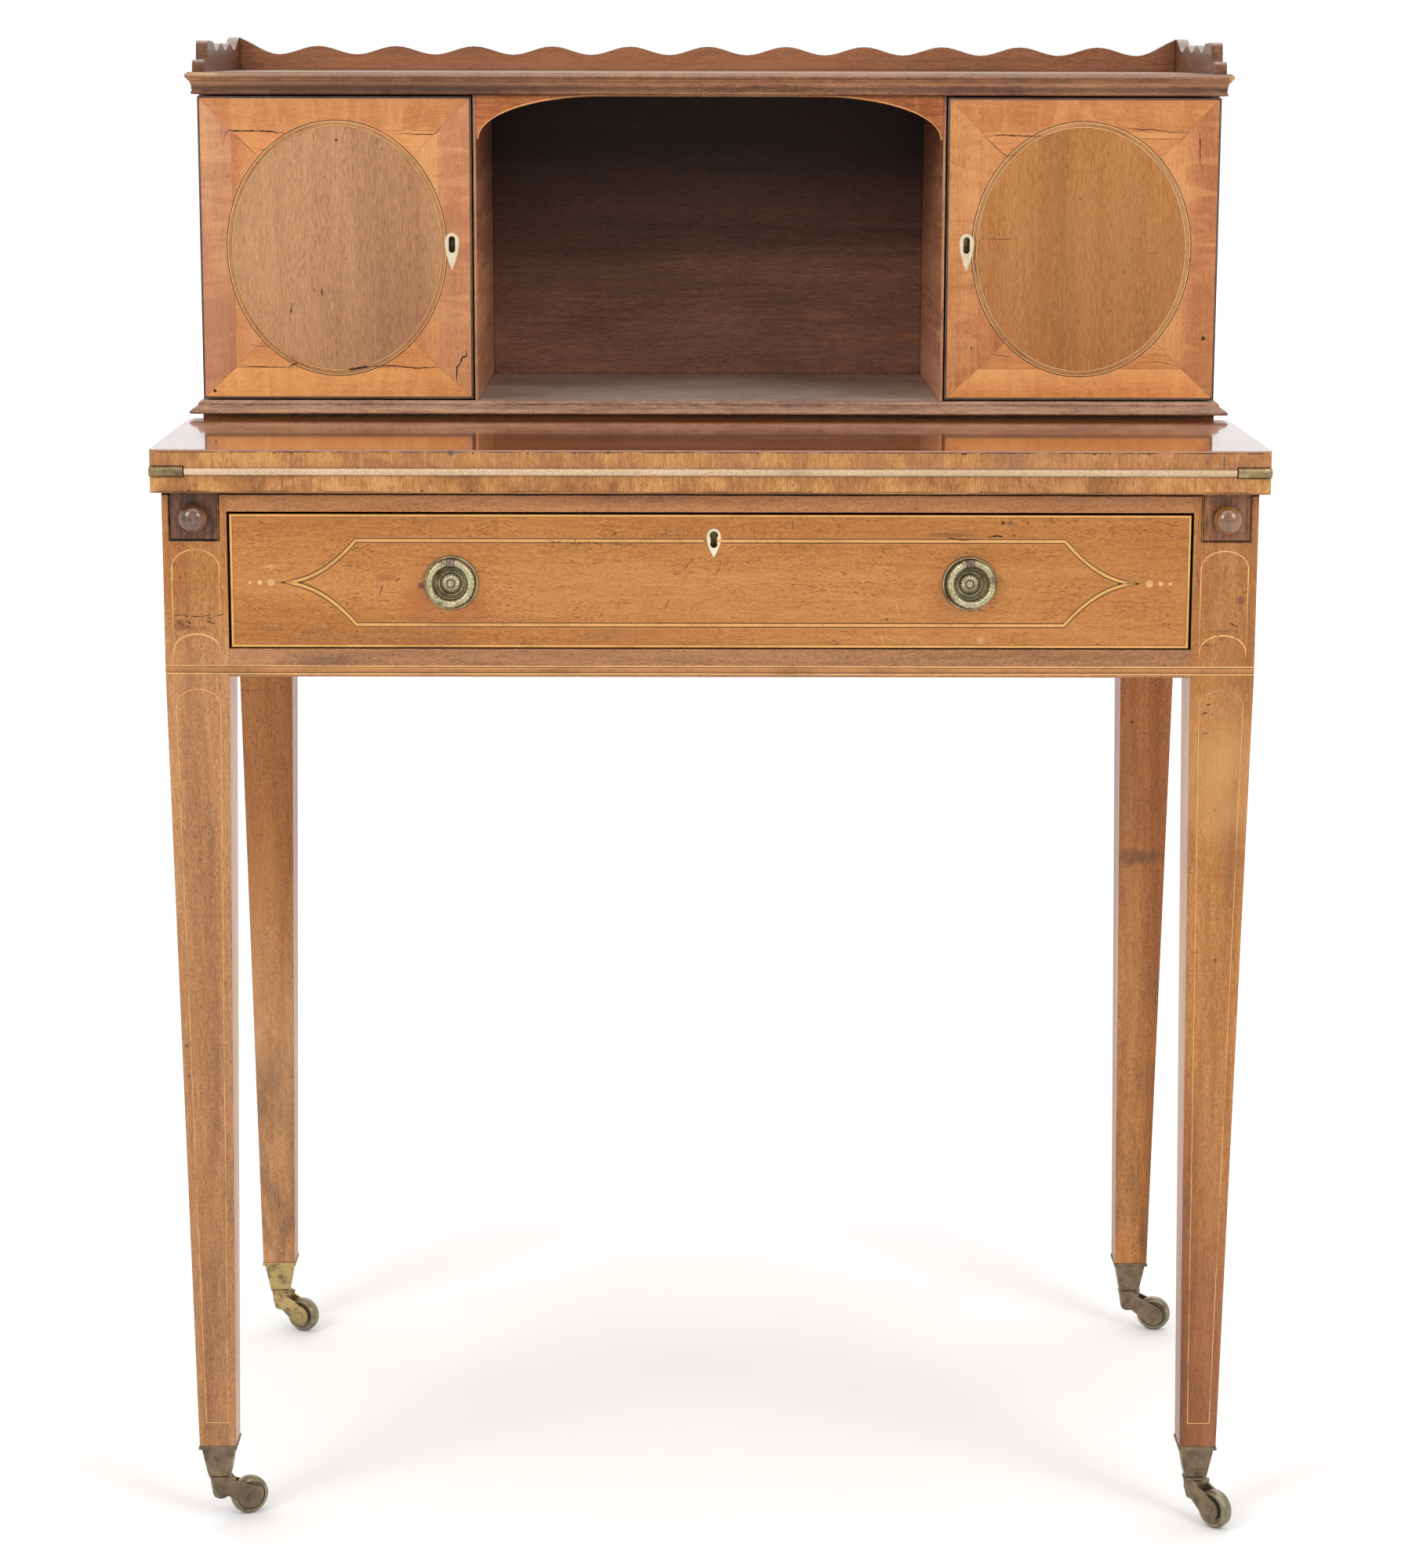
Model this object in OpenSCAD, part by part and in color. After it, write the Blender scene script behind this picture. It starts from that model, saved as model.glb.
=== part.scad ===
// Lady's writing desk of the late eighteenth century pattern: a shallow table on four square
// tapered legs with brass cup castors, one frieze drawer between two pull-out lopers, a
// fold-over writing leaf, and a raised cabinet of two doors and an open niche with a gallery.
// Millimetres, +Z up, -Y to the front. The origin is on the floor under the middle of the top.

/* [Table] */
// Width of the fixed top and of the fold-over leaf
top_w = 762; // [740:1:790]
// Depth of the fixed top, from front edge to back edge
top_d = 466; // [460:1:480]
// Height of the underside of the fixed top above the floor
frame_top_z = 750; // [730:1:770]
// Height of the frieze that holds the drawer
frieze_h = 128; // [126:1:134]
// Thickness of the fixed top and of the leaf
board_t = 14.7; // [13.5:0.1:16]
// Overhang of the top beyond the frieze at the front
front_over = 12; // [10:0.5:16]
// Overhang of the top beyond the frieze at each side
side_over = 6.5; // [5:0.5:9]
// Depth of the fold-over leaf
leaf_d = 217; // [214:0.5:219]

/* [Legs and castors] */
// Side of the square top of a leg
leg_top = 44; // [43:0.5:46]
// Side of the leg just above its brass cup
leg_foot = 26; // [25:0.5:28]
// Height of the top of the brass cup above the floor
cup_top_z = 59; // [58:0.5:62]
// Radius of a castor wheel
wheel_r = 13.8; // [13.5:0.1:14]
// Width of a castor wheel
wheel_w = 9; // [8:0.5:9.5]
// Distance from the castor's stem to its axle
trail = 21.5; // [21:0.5:23]

/* [Drawer] */
// Width of the drawer front
drawer_w = 657; // [640:0.5:658]
// Height of the drawer front
drawer_h = 91.6; // [88:0.2:92]
// Thickness of the drawer front
drawer_t = 20; // [19:0.5:22]
// Distance between the two ring handles
handle_span = 355; // [320:1:400]
// Outer radius of a handle backplate
plate_r = 18.6; // [18:0.1:20]

/* [Lopers] */
// Height of a loper
loper_h = 32.4; // [30:0.2:32.6]
// Width of the loper's facing block
loper_face_w = 31.6; // [30:0.2:31.8]
// Length of a loper behind its facing
loper_len = 340; // [300:5:350]

/* [Cabinet] */
// Width of the cabinet over its sides
cab_w = 745; // [735:1:750]
// Half of the width of the open niche
niche_half = 170; // [160:1:180]
// Height of the niche floor above the table's writing joint
cab_floor_h = 26.9; // [26:0.1:30]
// Height of a cabinet door
door_h = 219; // [200:1:240]
// Thickness of a cabinet door
door_t = 16; // [15:0.5:17]
// Thickness of the cabinet sides
side_t = 12; // [11:0.5:13]
// Thickness of the niche's partitions
part_t = 10; // [9.5:0.5:12]

/* [Gallery] */
// Thickness of the gallery boards
gallery_t = 8.4; // [7.5:0.1:9]
// Number of waves along the back gallery
waves = 12; // [8:2:16]
// Height of the gallery at its wave crests
crest_h = 18.6; // [17:0.2:22]
// Height of the gallery at its wave troughs
trough_h = 12.2; // [10:0.2:14]
// Height of the gallery at its rear corners
corner_h = 24.8; // [23:0.2:27]

/* [Hidden] */

$fn = 48;

rosewood = "#7a4a2c";
mahogany = "#8a5230";
satinwood = "#c47a3c";
brass = "#8f7f4c";
bone = "#efe4c4";
cloth = "#cbb994";

// Main planes
yf = -top_d / 2 + front_over;           // front face of the frieze
yb = top_d / 2;                         // back face of the desk
hx = top_w / 2;                         // half of the top's width
cx = hx - side_over;                    // half of the frieze's width
zb = frame_top_z - frieze_h;            // underside of the frieze
zj = frame_top_z + board_t;             // writing joint, top of the fixed bed
gap = 0.25;                             // gap between bed and folded leaf
lc = cx - leg_top / 2;                  // leg centres, across
lyf = yf + leg_top / 2;                 // front leg centres
lyr = yb - leg_top / 2;                 // rear leg centres
li = cx - leg_top;                      // inner faces of the legs
hinge_y = -top_d / 2 - 0.15;            // axis of the leaf
hinge_z = zj + gap / 2;
leaf_back = hinge_y + 0.15 + leaf_d;
rail_t = 18;
tenon = 8;

// Loper channel
ch_out = cx - 5.2;
ch_in = ch_out - loper_face_w - 1;
ch_z = frame_top_z - loper_h - 1.1;
loper_top = frame_top_z - 0.4;
bar_w = 18.1;
bar_in = ch_in + 1.2;
guide_in = li - 0.9;
knob_x = (ch_in + ch_out) / 2 - 0.4;
knob_z = zb + 110;

// Drawer
dz0 = zb + 20.7;                        // underside of the drawer
dz1 = dz0 + drawer_h;
dh = drawer_w / 2;
ds_t = 9.6;                             // drawer side thickness
dyb = yf + 411;                         // back of the drawer
handle_z = dz0 + 44.6;
esc_z = dz1 - 9.4;                      // top of the drawer's escutcheon
ring_r = 14.3;

// Cabinet
ch = cab_w / 2;
cyf = leaf_back + 2 + 8.7;              // plane of the door fronts
cfz = zj + cab_floor_h;                 // niche floor
dr0 = cfz + 1.5;                        // underside of the doors
dr1 = dr0 + door_h;
ccz = dr1 + 1.2;                        // underside of the cornice
ctz = ccz + 15.9;                       // top of the cabinet
cby = yb - 7;                           // front of the cabinet's back board
csy = cyf + door_t + 0.5;               // front edge of sides and partitions
door_o = ch - 0.7;                      // outer edge of a door
door_i = niche_half + 3.3;              // inner edge of a door
piv_x = door_o - 6;
piv_y = cyf + door_t - 6.5;
housing = 2;                            // depth of the housings in the cabinet boards
key_x = door_i + 14.8;
key_z = dr0 + 114.3;

// Castors: position of each stem and the way each wheel trails, in degrees about +Z
castor_at = [[-lc, lyf, 27], [lc, lyf, -52], [-lc, lyr, -28], [lc, lyr, -15]];

function arc(x, z, r, a0, a1, n) = [for (i = [0:n]) let (a = a0 + (a1 - a0) * i / n) [x + r * cos(a), z + r * sin(a)]];
function ease(a, b, t) = a + (b - a) * (1 - cos(180 * t)) / 2;

module mirror_pair() { children(); mirror([1, 0, 0]) children(); }

module box(a, b) { translate(a) cube(b - a); }

// Profile in (outward, up), swept round the front and both sides with mitred corners
module around(profile, half, front, back, reach) {
    intersection() {
        translate([0, front, 0]) rotate([90, 0, -90]) linear_extrude(height = 4 * half, center = true) polygon(profile);
        translate([0, 0, 500]) linear_extrude(height = 700) polygon([[-half - reach, front - reach], [half + reach, front - reach], [half, front], [-half, front]]);
    }
    mirror_pair() intersection() {
        translate([half, 0, 0]) rotate([90, 0, 0]) linear_extrude(height = 1200, center = true) polygon(profile);
        translate([0, 0, 500]) linear_extrude(height = 700) polygon([[half, front], [half + reach, front - reach], [half + reach, back], [half, back]]);
    }
}

// Square peg that tapers evenly on all four sides
module tapered_square(bottom, top, h) {
    p = [[-bottom / 2, 0], [bottom / 2, 0], [top / 2, h], [-top / 2, h]];
    w = 2 * max(bottom, top);
    intersection() {
        rotate([90, 0, 0]) linear_extrude(height = w, center = true) polygon(p);
        rotate([90, 0, 90]) linear_extrude(height = w, center = true) polygon(p);
    }
}

// Board with softened edges: section in (y, z), plan with rounded corners
module board(w, y0, y1, z0, z1, r, e) {
    intersection() {
        rotate([90, 0, 90]) linear_extrude(height = w + 10, center = true)
            polygon([[y0 + e, z0], [y1 - e, z0], [y1, z0 + e], [y1, z1 - e], [y1 - e, z1], [y0 + e, z1], [y0, z1 - e], [y0, z0 + e]]);
        translate([0, 0, z0 - 1]) linear_extrude(height = z1 - z0 + 2) rounded(w, y0, y1, r);
    }
}

module rounded(w, y0, y1, r) {
    translate([0, (y0 + y1) / 2]) union() {
        square([w - 2 * r, y1 - y0], center = true);
        square([w, y1 - y0 - 2 * r], center = true);
        for (sx = [-1, 1], sy = [-1, 1]) translate([sx * (w / 2 - r), sy * ((y1 - y0) / 2 - r)]) circle(r = r);
    }
}

// ---- legs and frame ----

module leg(x, y, front) {
    s = sign(x);
    color(mahogany) difference() {
        union() {
            translate([x - leg_top / 2, y - leg_top / 2, zb]) cube([leg_top, leg_top, frieze_h]);
            translate([x, y, cup_top_z]) tapered_square(leg_foot, leg_top, zb - cup_top_z);
            translate([x, y, cup_top_z - 13]) tapered_square(16, 21.2, 13.01);
        }
        if (front) {
            mirror([s < 0 ? 1 : 0, 0, 0]) {
                // notch for the loper
                box([ch_in, yf - 1, ch_z], [ch_out, yf + leg_top + 1, frame_top_z + 1]);
                // mortises for side rail, bottom rail and top rail
                box([cx - 14.6, yf + leg_top - 16.2, zb + 9.8], [cx - 6.2, yf + leg_top + 1, zb + 84.2]);
                box([li - 1, yf + 13.8, zb + 3.8], [li + 16.2, yf + 22.2, zb + 16.2]);
                box([li - 1, yf + 9.8, frame_top_z - 12.2], [li + 3.2, yf + 24.2, frame_top_z + 1]);
            }
        } else {
            mirror([s < 0 ? 1 : 0, 0, 0]) {
                box([cx - 14.6, yb - leg_top - 1, zb + 9.8], [cx - 6.2, yb - leg_top + 16.2, zb + 110.2]);
                box([li - 1, yb - 13.2, zb + 9.8], [li + 16.2, yb - 4.8, zb + 110.2]);
            }
        }
    }
}

module leg_front_left() { leg(-lc, lyf, true); }
module leg_front_right() { leg(lc, lyf, true); }
module leg_rear_left() { leg(-lc, lyr, false); }
module leg_rear_right() { leg(lc, lyr, false); }

cup_bot = cup_top_z - 24.7;

module castor_cup() {
    difference() {
        union() {
            translate([0, 0, cup_bot]) tapered_square(15.8, 24.5, cup_top_z - cup_bot);
            translate([0, 0, cup_top_z - 2.6]) tapered_square(27.0, 27.6, 1.5);
            translate([0, 0, cup_top_z - 1.1]) tapered_square(27.6, 26.8, 1.1);
            translate([0, 0, cup_bot - 0.6]) cylinder(r = 7.6, h = 1);
        }
        translate([0, 0, cup_bot + 3.6]) tapered_square(13.2, 21.4, cup_top_z - cup_bot - 3.5);
        translate([0, 0, cup_bot - 2]) cylinder(r = 2.54, h = 8);
        translate([0, 0, cup_top_z]) linear_extrude(height = 1) square(40, center = true);
    }
}

module castor_cups() {
    color(brass) for (c = castor_at) translate([c[0], c[1], 0]) castor_cup();
}

module side_rails() {
    y0 = yf + leg_top;
    y1 = yb - leg_top;
    color(mahogany) mirror_pair() union() {
        box([cx - rail_t, y0, zb], [cx, y1, frame_top_z]);
        box([cx - 14.4, y0 - 16, zb + 10], [cx - 6.4, y0 + 1, zb + 84]);
        box([cx - 14.4, y1 - 1, zb + 10], [cx - 6.4, y1 + 16, zb + 110]);
    }
}

module back_rail() {
    color(mahogany) union() {
        box([-li, yb - rail_t, zb], [li, yb, frame_top_z]);
        mirror_pair() box([li - 1, yb - 13, zb + 10], [li + 16, yb - 5, zb + 110]);
    }
}

module front_top_rail() {
    color(mahogany) difference() {
        union() {
            box([-li, yf, frame_top_z - 13.9], [li, yf + 40, frame_top_z]);
            mirror_pair() box([li - 1, yf + 10, frame_top_z - 12], [li + 3, yf + 24, frame_top_z]);
        }
        // mortise for the drawer lock's bolt
        box([-9, yf + 13.6, frame_top_z - 15], [9, yf + 18.4, frame_top_z - 7]);
    }
}

module front_bottom_rail() {
    color(mahogany) union() {
        box([-li, yf, zb], [li, yf + 40, zb + 19.5]);
        mirror_pair() box([li - 1, yf + 14, zb + 4], [li + 16, yf + 22, zb + 16]);
    }
}

module drawer_runners() {
    y0 = yf + 40;
    y1 = yb - rail_t;
    color(mahogany) mirror_pair() {
        box([dh - 26, y0, zb + 6], [dh - 1, y1, dz0 - 0.4]);
        box([dh - 22, y0, dz1 - 1.8], [dh - 3, y1, frame_top_z]);
    }
}

module loper_guides() {
    y0 = yf + leg_top;
    y1 = yb - leg_top;
    color(mahogany) mirror_pair() union() {
        box([guide_in, y0, zb + 70], [bar_in - 0.5, y1, frame_top_z]);
        box([bar_in - 1, y0, ch_z - 12], [cx - rail_t, y1, ch_z + 0.4]);
    }
}

// ---- top, leaf and their linings ----

lin_x = hx - 24;
hin0 = hx - 23.3;
hin1 = hx - 0.3;

// Room for the knuckles of one leaf hinge
module knuckle_room() {
    mirror_pair() translate([hin0 - 0.4, hinge_y, hinge_z]) rotate([0, 90, 0]) cylinder(r = 3.8, h = 40);
}

module table_top() {
    color(mahogany) difference() {
        board(top_w, -top_d / 2, yb, frame_top_z, zj, 4, 1.1);
        box([-lin_x, -top_d / 2 - 1, zj - 0.9], [lin_x, leaf_back - 14, zj + 1]);
        knuckle_room();
        mirror_pair() box([hin0, -top_d / 2 - 1, zj - 1.6], [hin1, -top_d / 2 + 25, zj + 1]);
    }
}

module bed_lining() {
    color(cloth) box([-lin_x + 0.1, -top_d / 2 + 0.1, zj - 0.9], [lin_x - 0.1, leaf_back - 14.1, zj]);
}

module leaf_lining() {
    color(cloth) box([-lin_x + 0.1, -top_d / 2 + 0.1, zj + gap], [lin_x - 0.1, leaf_back - 14.1, zj + gap + 0.9]);
}

// Strip of the lining that bends round the joint
module joint_lining() {
    color(cloth) translate([0, -top_d / 2, hinge_z]) intersection() {
        rotate([0, 90, 0]) cylinder(r = 2.1, h = 2 * lin_x - 0.2, center = true);
        translate([0, -5, 0]) cube([2 * top_w, 10, 10], center = true);
    }
}

module fold_leaf() {
    z0 = zj + gap;
    color(mahogany) difference() {
        board(top_w, -top_d / 2, leaf_back, z0, z0 + board_t, 4, 1.1);
        box([-lin_x, -top_d / 2 - 1, z0 - 1], [lin_x, leaf_back - 14, z0 + 0.9]);
        knuckle_room();
        mirror_pair() box([hin0, -top_d / 2 - 1, z0 - 1], [hin1, -top_d / 2 + 25, z0 + 1.6]);
    }
}

k1 = hin0 + 7.6;
k2 = hin1 - 7.6;

module leaf_hinges_fixed() {
    color(brass) mirror_pair() {
        difference() {
            union() {
                for (k = [[hin0 + 0.05, k1], [k2, hin1]])
                    translate([k[0], hinge_y, hinge_z]) rotate([0, 90, 0]) cylinder(r = 3.5, h = k[1] - k[0]);
                box([hin0 + 0.05, hinge_y, zj - 1.6], [hin1, -top_d / 2 + 25, zj]);
            }
            // room for the moving knuckle
            translate([k1, hinge_y, hinge_z]) rotate([0, 90, 0]) cylinder(r = 3.8, h = k2 - k1);
            // holes for the screws
            for (x = [hin0 + 6, hin1 - 6]) translate([x, -top_d / 2 + 16, zj - 3]) cylinder(r = 1.6, h = 5);
        }
        translate([hin0 + 0.05, hinge_y, hinge_z]) rotate([0, 90, 0]) cylinder(r = 1.2, h = hin1 - hin0 - 0.05);
    }
}

module leaf_hinges_moving() {
    z0 = zj + gap;
    color(brass) mirror_pair() difference() {
        union() {
            translate([k1 + 0.1, hinge_y, hinge_z]) rotate([0, 90, 0]) cylinder(r = 3.5, h = k2 - k1 - 0.2);
            box([hin0 + 0.05, hinge_y, z0], [hin1, -top_d / 2 + 25, z0 + 1.6]);
        }
        translate([hin0 - 1, hinge_y, hinge_z]) rotate([0, 90, 0]) cylinder(r = 1.23, h = 40);
        translate([hin0 - 1, hinge_y, hinge_z]) rotate([0, 90, 0]) cylinder(r = 3.8, h = k1 + 0.1 - hin0 + 1);
        translate([k2 - 0.1, hinge_y, hinge_z]) rotate([0, 90, 0]) cylinder(r = 3.8, h = 20);
        for (x = [hin0 + 6, hin1 - 6]) translate([x, -top_d / 2 + 16, z0 - 2]) cylinder(r = 1.6, h = 6);
    }
}

// ---- cabinet ----

module cabinet_plinth() {
    color(mahogany) difference() {
        box([-ch, cyf, zj], [ch, yb, cfz - 10]);
        box([-ch + 18, cyf + 18, zj - 1], [ch - 18, yb - 18, cfz]);
    }
}

module cabinet_bottom() {
    color(mahogany) difference() {
        box([-ch, cyf, cfz - 10], [ch, cby, cfz]);
        mirror_pair() {
            box([piv_x - 17, piv_y - 4.5, cfz - 1.5], [piv_x, piv_y + 4.5, cfz + 1]);
            translate([piv_x, piv_y, cfz - 1.5]) cylinder(r = 4.5, h = 3);
            // housing of the partition, cut through to the front
            box([niche_half, cyf - 1, cfz - housing], [niche_half + part_t, cby + 1, cfz + 1]);
        }
    }
}

module cabinet_sides() {
    color(mahogany) mirror_pair() box([ch - side_t, csy, cfz], [ch, cby, ccz + 3.9]);
}

module partitions() {
    color(mahogany) mirror_pair() difference() {
        union() {
            box([niche_half, csy, cfz - housing], [niche_half + part_t, cby, ccz + 3.9]);
            box([niche_half, cyf + 1, cfz - housing], [niche_half + 2, csy + 1, ccz]);
            box([niche_half, cyf, cfz - housing], [niche_half + part_t, csy + 1, cfz]);
        }
        // mortise for the door lock's bolt
        box([niche_half + part_t - 5.6, cyf + door_t + 3.1, key_z - 5.2], [niche_half + part_t + 1, cyf + door_t + 7.9, key_z + 5.2]);
        // the top of the facing stops under the cornice
        box([niche_half - 1, cyf, ccz], [niche_half + part_t + 1, cyf + door_t + 0.5, ccz + 5]);
    }
}

module cabinet_top() {
    color(mahogany) difference() {
        box([-ch, cyf, ccz + 3.9], [ch, yb, ctz]);
        // housings of the gallery boards
        mirror_pair() box([gx, cyf - 1, ctz - housing], [ch + 1, gy + 9, ctz + 1]);
        box([-gx - 1, gy, ctz - housing], [gx + 1, gy + gallery_t, ctz + 1]);
    }
}

module cabinet_back() {
    color(mahogany) box([-ch, cby, cfz - 10], [ch, yb, ccz + 3.9]);
}

module base_moulding() {
    z1 = cfz + 0.4;
    zt = zj + gap + board_t + 2.6;
    color(mahogany) around(concat([[0, zt]], [[7.4, zt]], arc(7.9, zt + 1.3, 1.2, -60, 70, 6),
        [for (i = [1:6]) [ease(8.2, 3.3, i / 6), zt + 2.5 + 3.9 * i / 6]],
        [[3.3, z1 - 2.2], [1.6, z1 - 0.5], [0.7, z1], [0, z1]]), ch, cyf, yb, 12);
}

module cornice() {
    p = concat([[0, ccz], [0.6, ccz]], arc(2.2, ccz + 1.4, 1.3, -70, 80, 5), [[2.7, ccz + 3.1]],
        [for (i = [0:8]) let (a = 90 * i / 8) [2.9 + 2.6 * (1 - cos(a)), ccz + 3.6 + 6.6 * sin(a)]],
        [[5.5, ccz + 10.9]], arc(5.2, ccz + 13.3, 2.1, -75, 75, 8), [[5.2, ctz], [0, ctz]]);
    color(mahogany) difference() {
        union() {
            around(p, ch, cyf, yb, 12);
            box([-ch, cyf - 0.01, ccz], [ch, cyf + door_t + 0.5, ccz + 3.9]);
        }
        // seats of the upper pivot plates
        mirror_pair() {
            box([piv_x - 17, piv_y - 4.5, ccz - 1], [piv_x, piv_y + 4.5, ccz + 1.5]);
            translate([piv_x, piv_y, ccz - 1]) cylinder(r = 4.5, h = 2.5);
        }
    }
}

module arch_apron() {
    w = niche_half - 0.1;
    n = 20;
    left = [for (i = [0:n]) let (a = 90 * i / n) [-(78 + (w - 79) * cos(a)), ccz - 32 + 31 * sin(a)]];
    right = [for (i = [n:-1:0]) [-left[i][0], left[i][1]]];
    color(mahogany) translate([0, cyf + 9, 0]) rotate([90, 0, 0]) linear_extrude(height = 8)
        polygon(concat([[-w, ccz], [-w, ccz - 32]], left, right, [[w, ccz - 32], [w, ccz]]));
}

// ---- gallery ----

gx = ch - 5.9;                           // inner faces of the side boards
gy = yb - 12;                            // inner face of the back board

function back_h(x) = let (p = 2 * gx / waves, d = max(0, (abs(x) - (gx - p / 2)) / (p / 2)))
    (crest_h + trough_h) / 2 + (crest_h - trough_h) / 2 * cos(360 * (gx - abs(x)) / p) + (corner_h - crest_h) * d * d;

module gallery_back() {
    n = waves * 12;
    color(mahogany) translate([0, gy + gallery_t, ctz]) rotate([90, 0, 0]) linear_extrude(height = gallery_t)
        polygon(concat([[-gx, -housing]], [for (i = [0:n]) let (x = -gx + 2 * gx * i / n) [x, back_h(x)]], [[gx, -housing]]));
}

// Height of a side board at the distance s forward of the inner rear corner
side_keys = [[-9, corner_h + 0.2], [0, corner_h], [38, 15.4], [65, 20.4], [93, 15.3], [121, 20.4], [149, 15.3], [171, 21.9], [196, 22.4]];
function side_run(k, n) = [for (j = [0:n - 1]) [side_keys[k][0] + (side_keys[k + 1][0] - side_keys[k][0]) * j / n,
    ease(side_keys[k][1], side_keys[k + 1][1], j / n)]];

module gallery_side() {
    top = [for (k = [0:len(side_keys) - 2]) each side_run(k, 8)];
    front = concat(arc(196, 17.4, 5, 90, 10, 5), [[202.2, 10.5], [204.2, 6.4], [206, 6.2], [208, 8.2]],
                   arc(220.5, 4.2, 4.6, 88, 0, 5), [[225.1, 0]]);
    color(mahogany) translate([gx, gy, ctz]) rotate([90, 0, 90]) mirror([1, 0, 0]) union() {
        linear_extrude(height = gallery_t) polygon(concat([[-9, 0]], top, front));
        // tongue in the housing
        linear_extrude(height = ch - gx)
            polygon([[-9, -housing], [-9, 3], [200, 3], [200, 0], [gy - cyf, 0], [gy - cyf, -housing]]);
    }
}
module gallery_left() { mirror([1, 0, 0]) gallery_side(); }
module gallery_right() { gallery_side(); }

// ---- doors ----

module drop_shape(w, up, down) {
    n = 10;
    r = [for (i = [0:n]) let (a = 90 - 90 * i / n) [w * cos(a), up * sin(a)]];
    d = [for (i = [1:n]) let (v = i / n) [max(w * (1 - pow(v, 1.7)), 0.25), -down * v]];
    right = concat(r, d);
    polygon(concat(right, [for (i = [len(right) - 1:-1:1]) [-right[i][0], right[i][1]]]));
}

module key_shape(r, drop, waist, foot) {
    circle(r = r);
    polygon([[-waist, 0], [-waist, -drop], [waist, -drop], [waist, 0]]);
    translate([0, -drop]) circle(r = foot);
}

module door() {
    color(satinwood) difference() {
        union() {
            box([door_i, cyf, dr0], [piv_x, cyf + door_t, dr1]);
            box([piv_x - 1, cyf, dr0], [door_o, piv_y, dr1]);
            translate([piv_x, piv_y, dr0]) cylinder(r = 6, h = door_h);
        }
        // the escutcheon is let in, and the key passes through
        translate([key_x, cyf + 1, key_z]) rotate([90, 0, 0]) linear_extrude(height = 3) drop_shape(5.35, 6.9, 20.5);
        translate([key_x, cyf + door_t + 1, key_z + 1.9]) rotate([90, 0, 0]) linear_extrude(height = door_t + 2) key_shape(2.35, 7.3, 2.35, 2.35);
        // seats of the pivot sockets
        for (z = [dr0 - 1, dr1 - 1.5]) {
            box([piv_x - 17, piv_y - 4.5, z], [piv_x, piv_y + 4.5, z + 2.5]);
            translate([piv_x, piv_y, z]) cylinder(r = 4.5, h = 2.5);
        }
        for (z = [dr0 - 1, dr1 - 5]) translate([piv_x, piv_y, z]) cylinder(r = 2.2, h = 6);
    }
}
module door_left() { mirror([1, 0, 0]) door(); }
module door_right() { door(); }

module socket_plates() {
    color(brass) for (z = [dr0, dr1 - 1.5]) difference() {
        union() {
            box([piv_x - 16.9, piv_y - 4.4, z], [piv_x, piv_y + 4.4, z + 1.5]);
            translate([piv_x, piv_y, z]) cylinder(r = 4.4, h = 1.5);
        }
        translate([piv_x, piv_y, z - 1]) cylinder(r = 1.55, h = 4);
        translate([piv_x - 11, piv_y, z - 1]) cylinder(r = 1.3, h = 4);
    }
}
module door_left_sockets() { mirror([1, 0, 0]) socket_plates(); }
module door_right_sockets() { socket_plates(); }

// Bone escutcheon in the shape of a drop, let in flush round the keyhole
module door_escutcheon() {
    color(bone) translate([key_x, cyf + 1, key_z]) rotate([90, 0, 0]) linear_extrude(height = 1.1) difference() {
        drop_shape(5.3, 6.8, 20.4);
        translate([0, 1.9]) key_shape(2.35, 7.3, 2.35, 2.35);
    }
}
module door_left_escutcheon() { mirror([1, 0, 0]) door_escutcheon(); }
module door_right_escutcheon() { door_escutcheon(); }

// Plates with the pivot pins, let into the cabinet bottom and into the cornice rail
module door_pivot_plates() {
    color(brass) mirror_pair() for (p = [[cfz - 1.5, cfz - 0.5, cfz + 4.7], [ccz, dr1 - 3.8, ccz + 0.5]]) {
        union() {
            difference() {
                union() {
                    box([piv_x - 16.9, piv_y - 4.4, p[0]], [piv_x, piv_y + 4.4, p[0] + 1.5]);
                    translate([piv_x, piv_y, p[0]]) cylinder(r = 4.4, h = 1.5);
                }
                translate([piv_x - 11, piv_y, p[0] - 1]) cylinder(r = 1.3, h = 4);
            }
            translate([piv_x, piv_y, p[1]]) cylinder(r = 1.5, h = p[2] - p[1]);
        }
    }
}

module lock_case() {
    y0 = cyf + door_t;
    color(brass) difference() {
        box([niche_half + part_t + 1.5, y0, key_z - 16], [niche_half + part_t + 31, y0 + 10, key_z + 16]);
        // the bolt's way
        box([niche_half + part_t + 1, y0 + 3.3, key_z - 4.6], [niche_half + part_t + 26, y0 + 7.7, key_z + 4.6]);
        translate([key_x, y0 + 3.5, key_z + 1.9]) rotate([90, 0, 0]) linear_extrude(height = 5) key_shape(2.35, 7.3, 2.35, 2.35);
    }
}
module door_left_lock() { mirror([1, 0, 0]) lock_case(); }
module door_right_lock() { lock_case(); }

module lock_bolt() {
    y0 = cyf + door_t;
    color(brass) box([niche_half + part_t + 1.6, y0 + 3.5, key_z - 4.4], [niche_half + part_t + 20, y0 + 7.5, key_z + 4.4]);
}
module door_left_bolt() { mirror([1, 0, 0]) lock_bolt(); }
module door_right_bolt() { lock_bolt(); }

// ---- drawer ----

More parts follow.
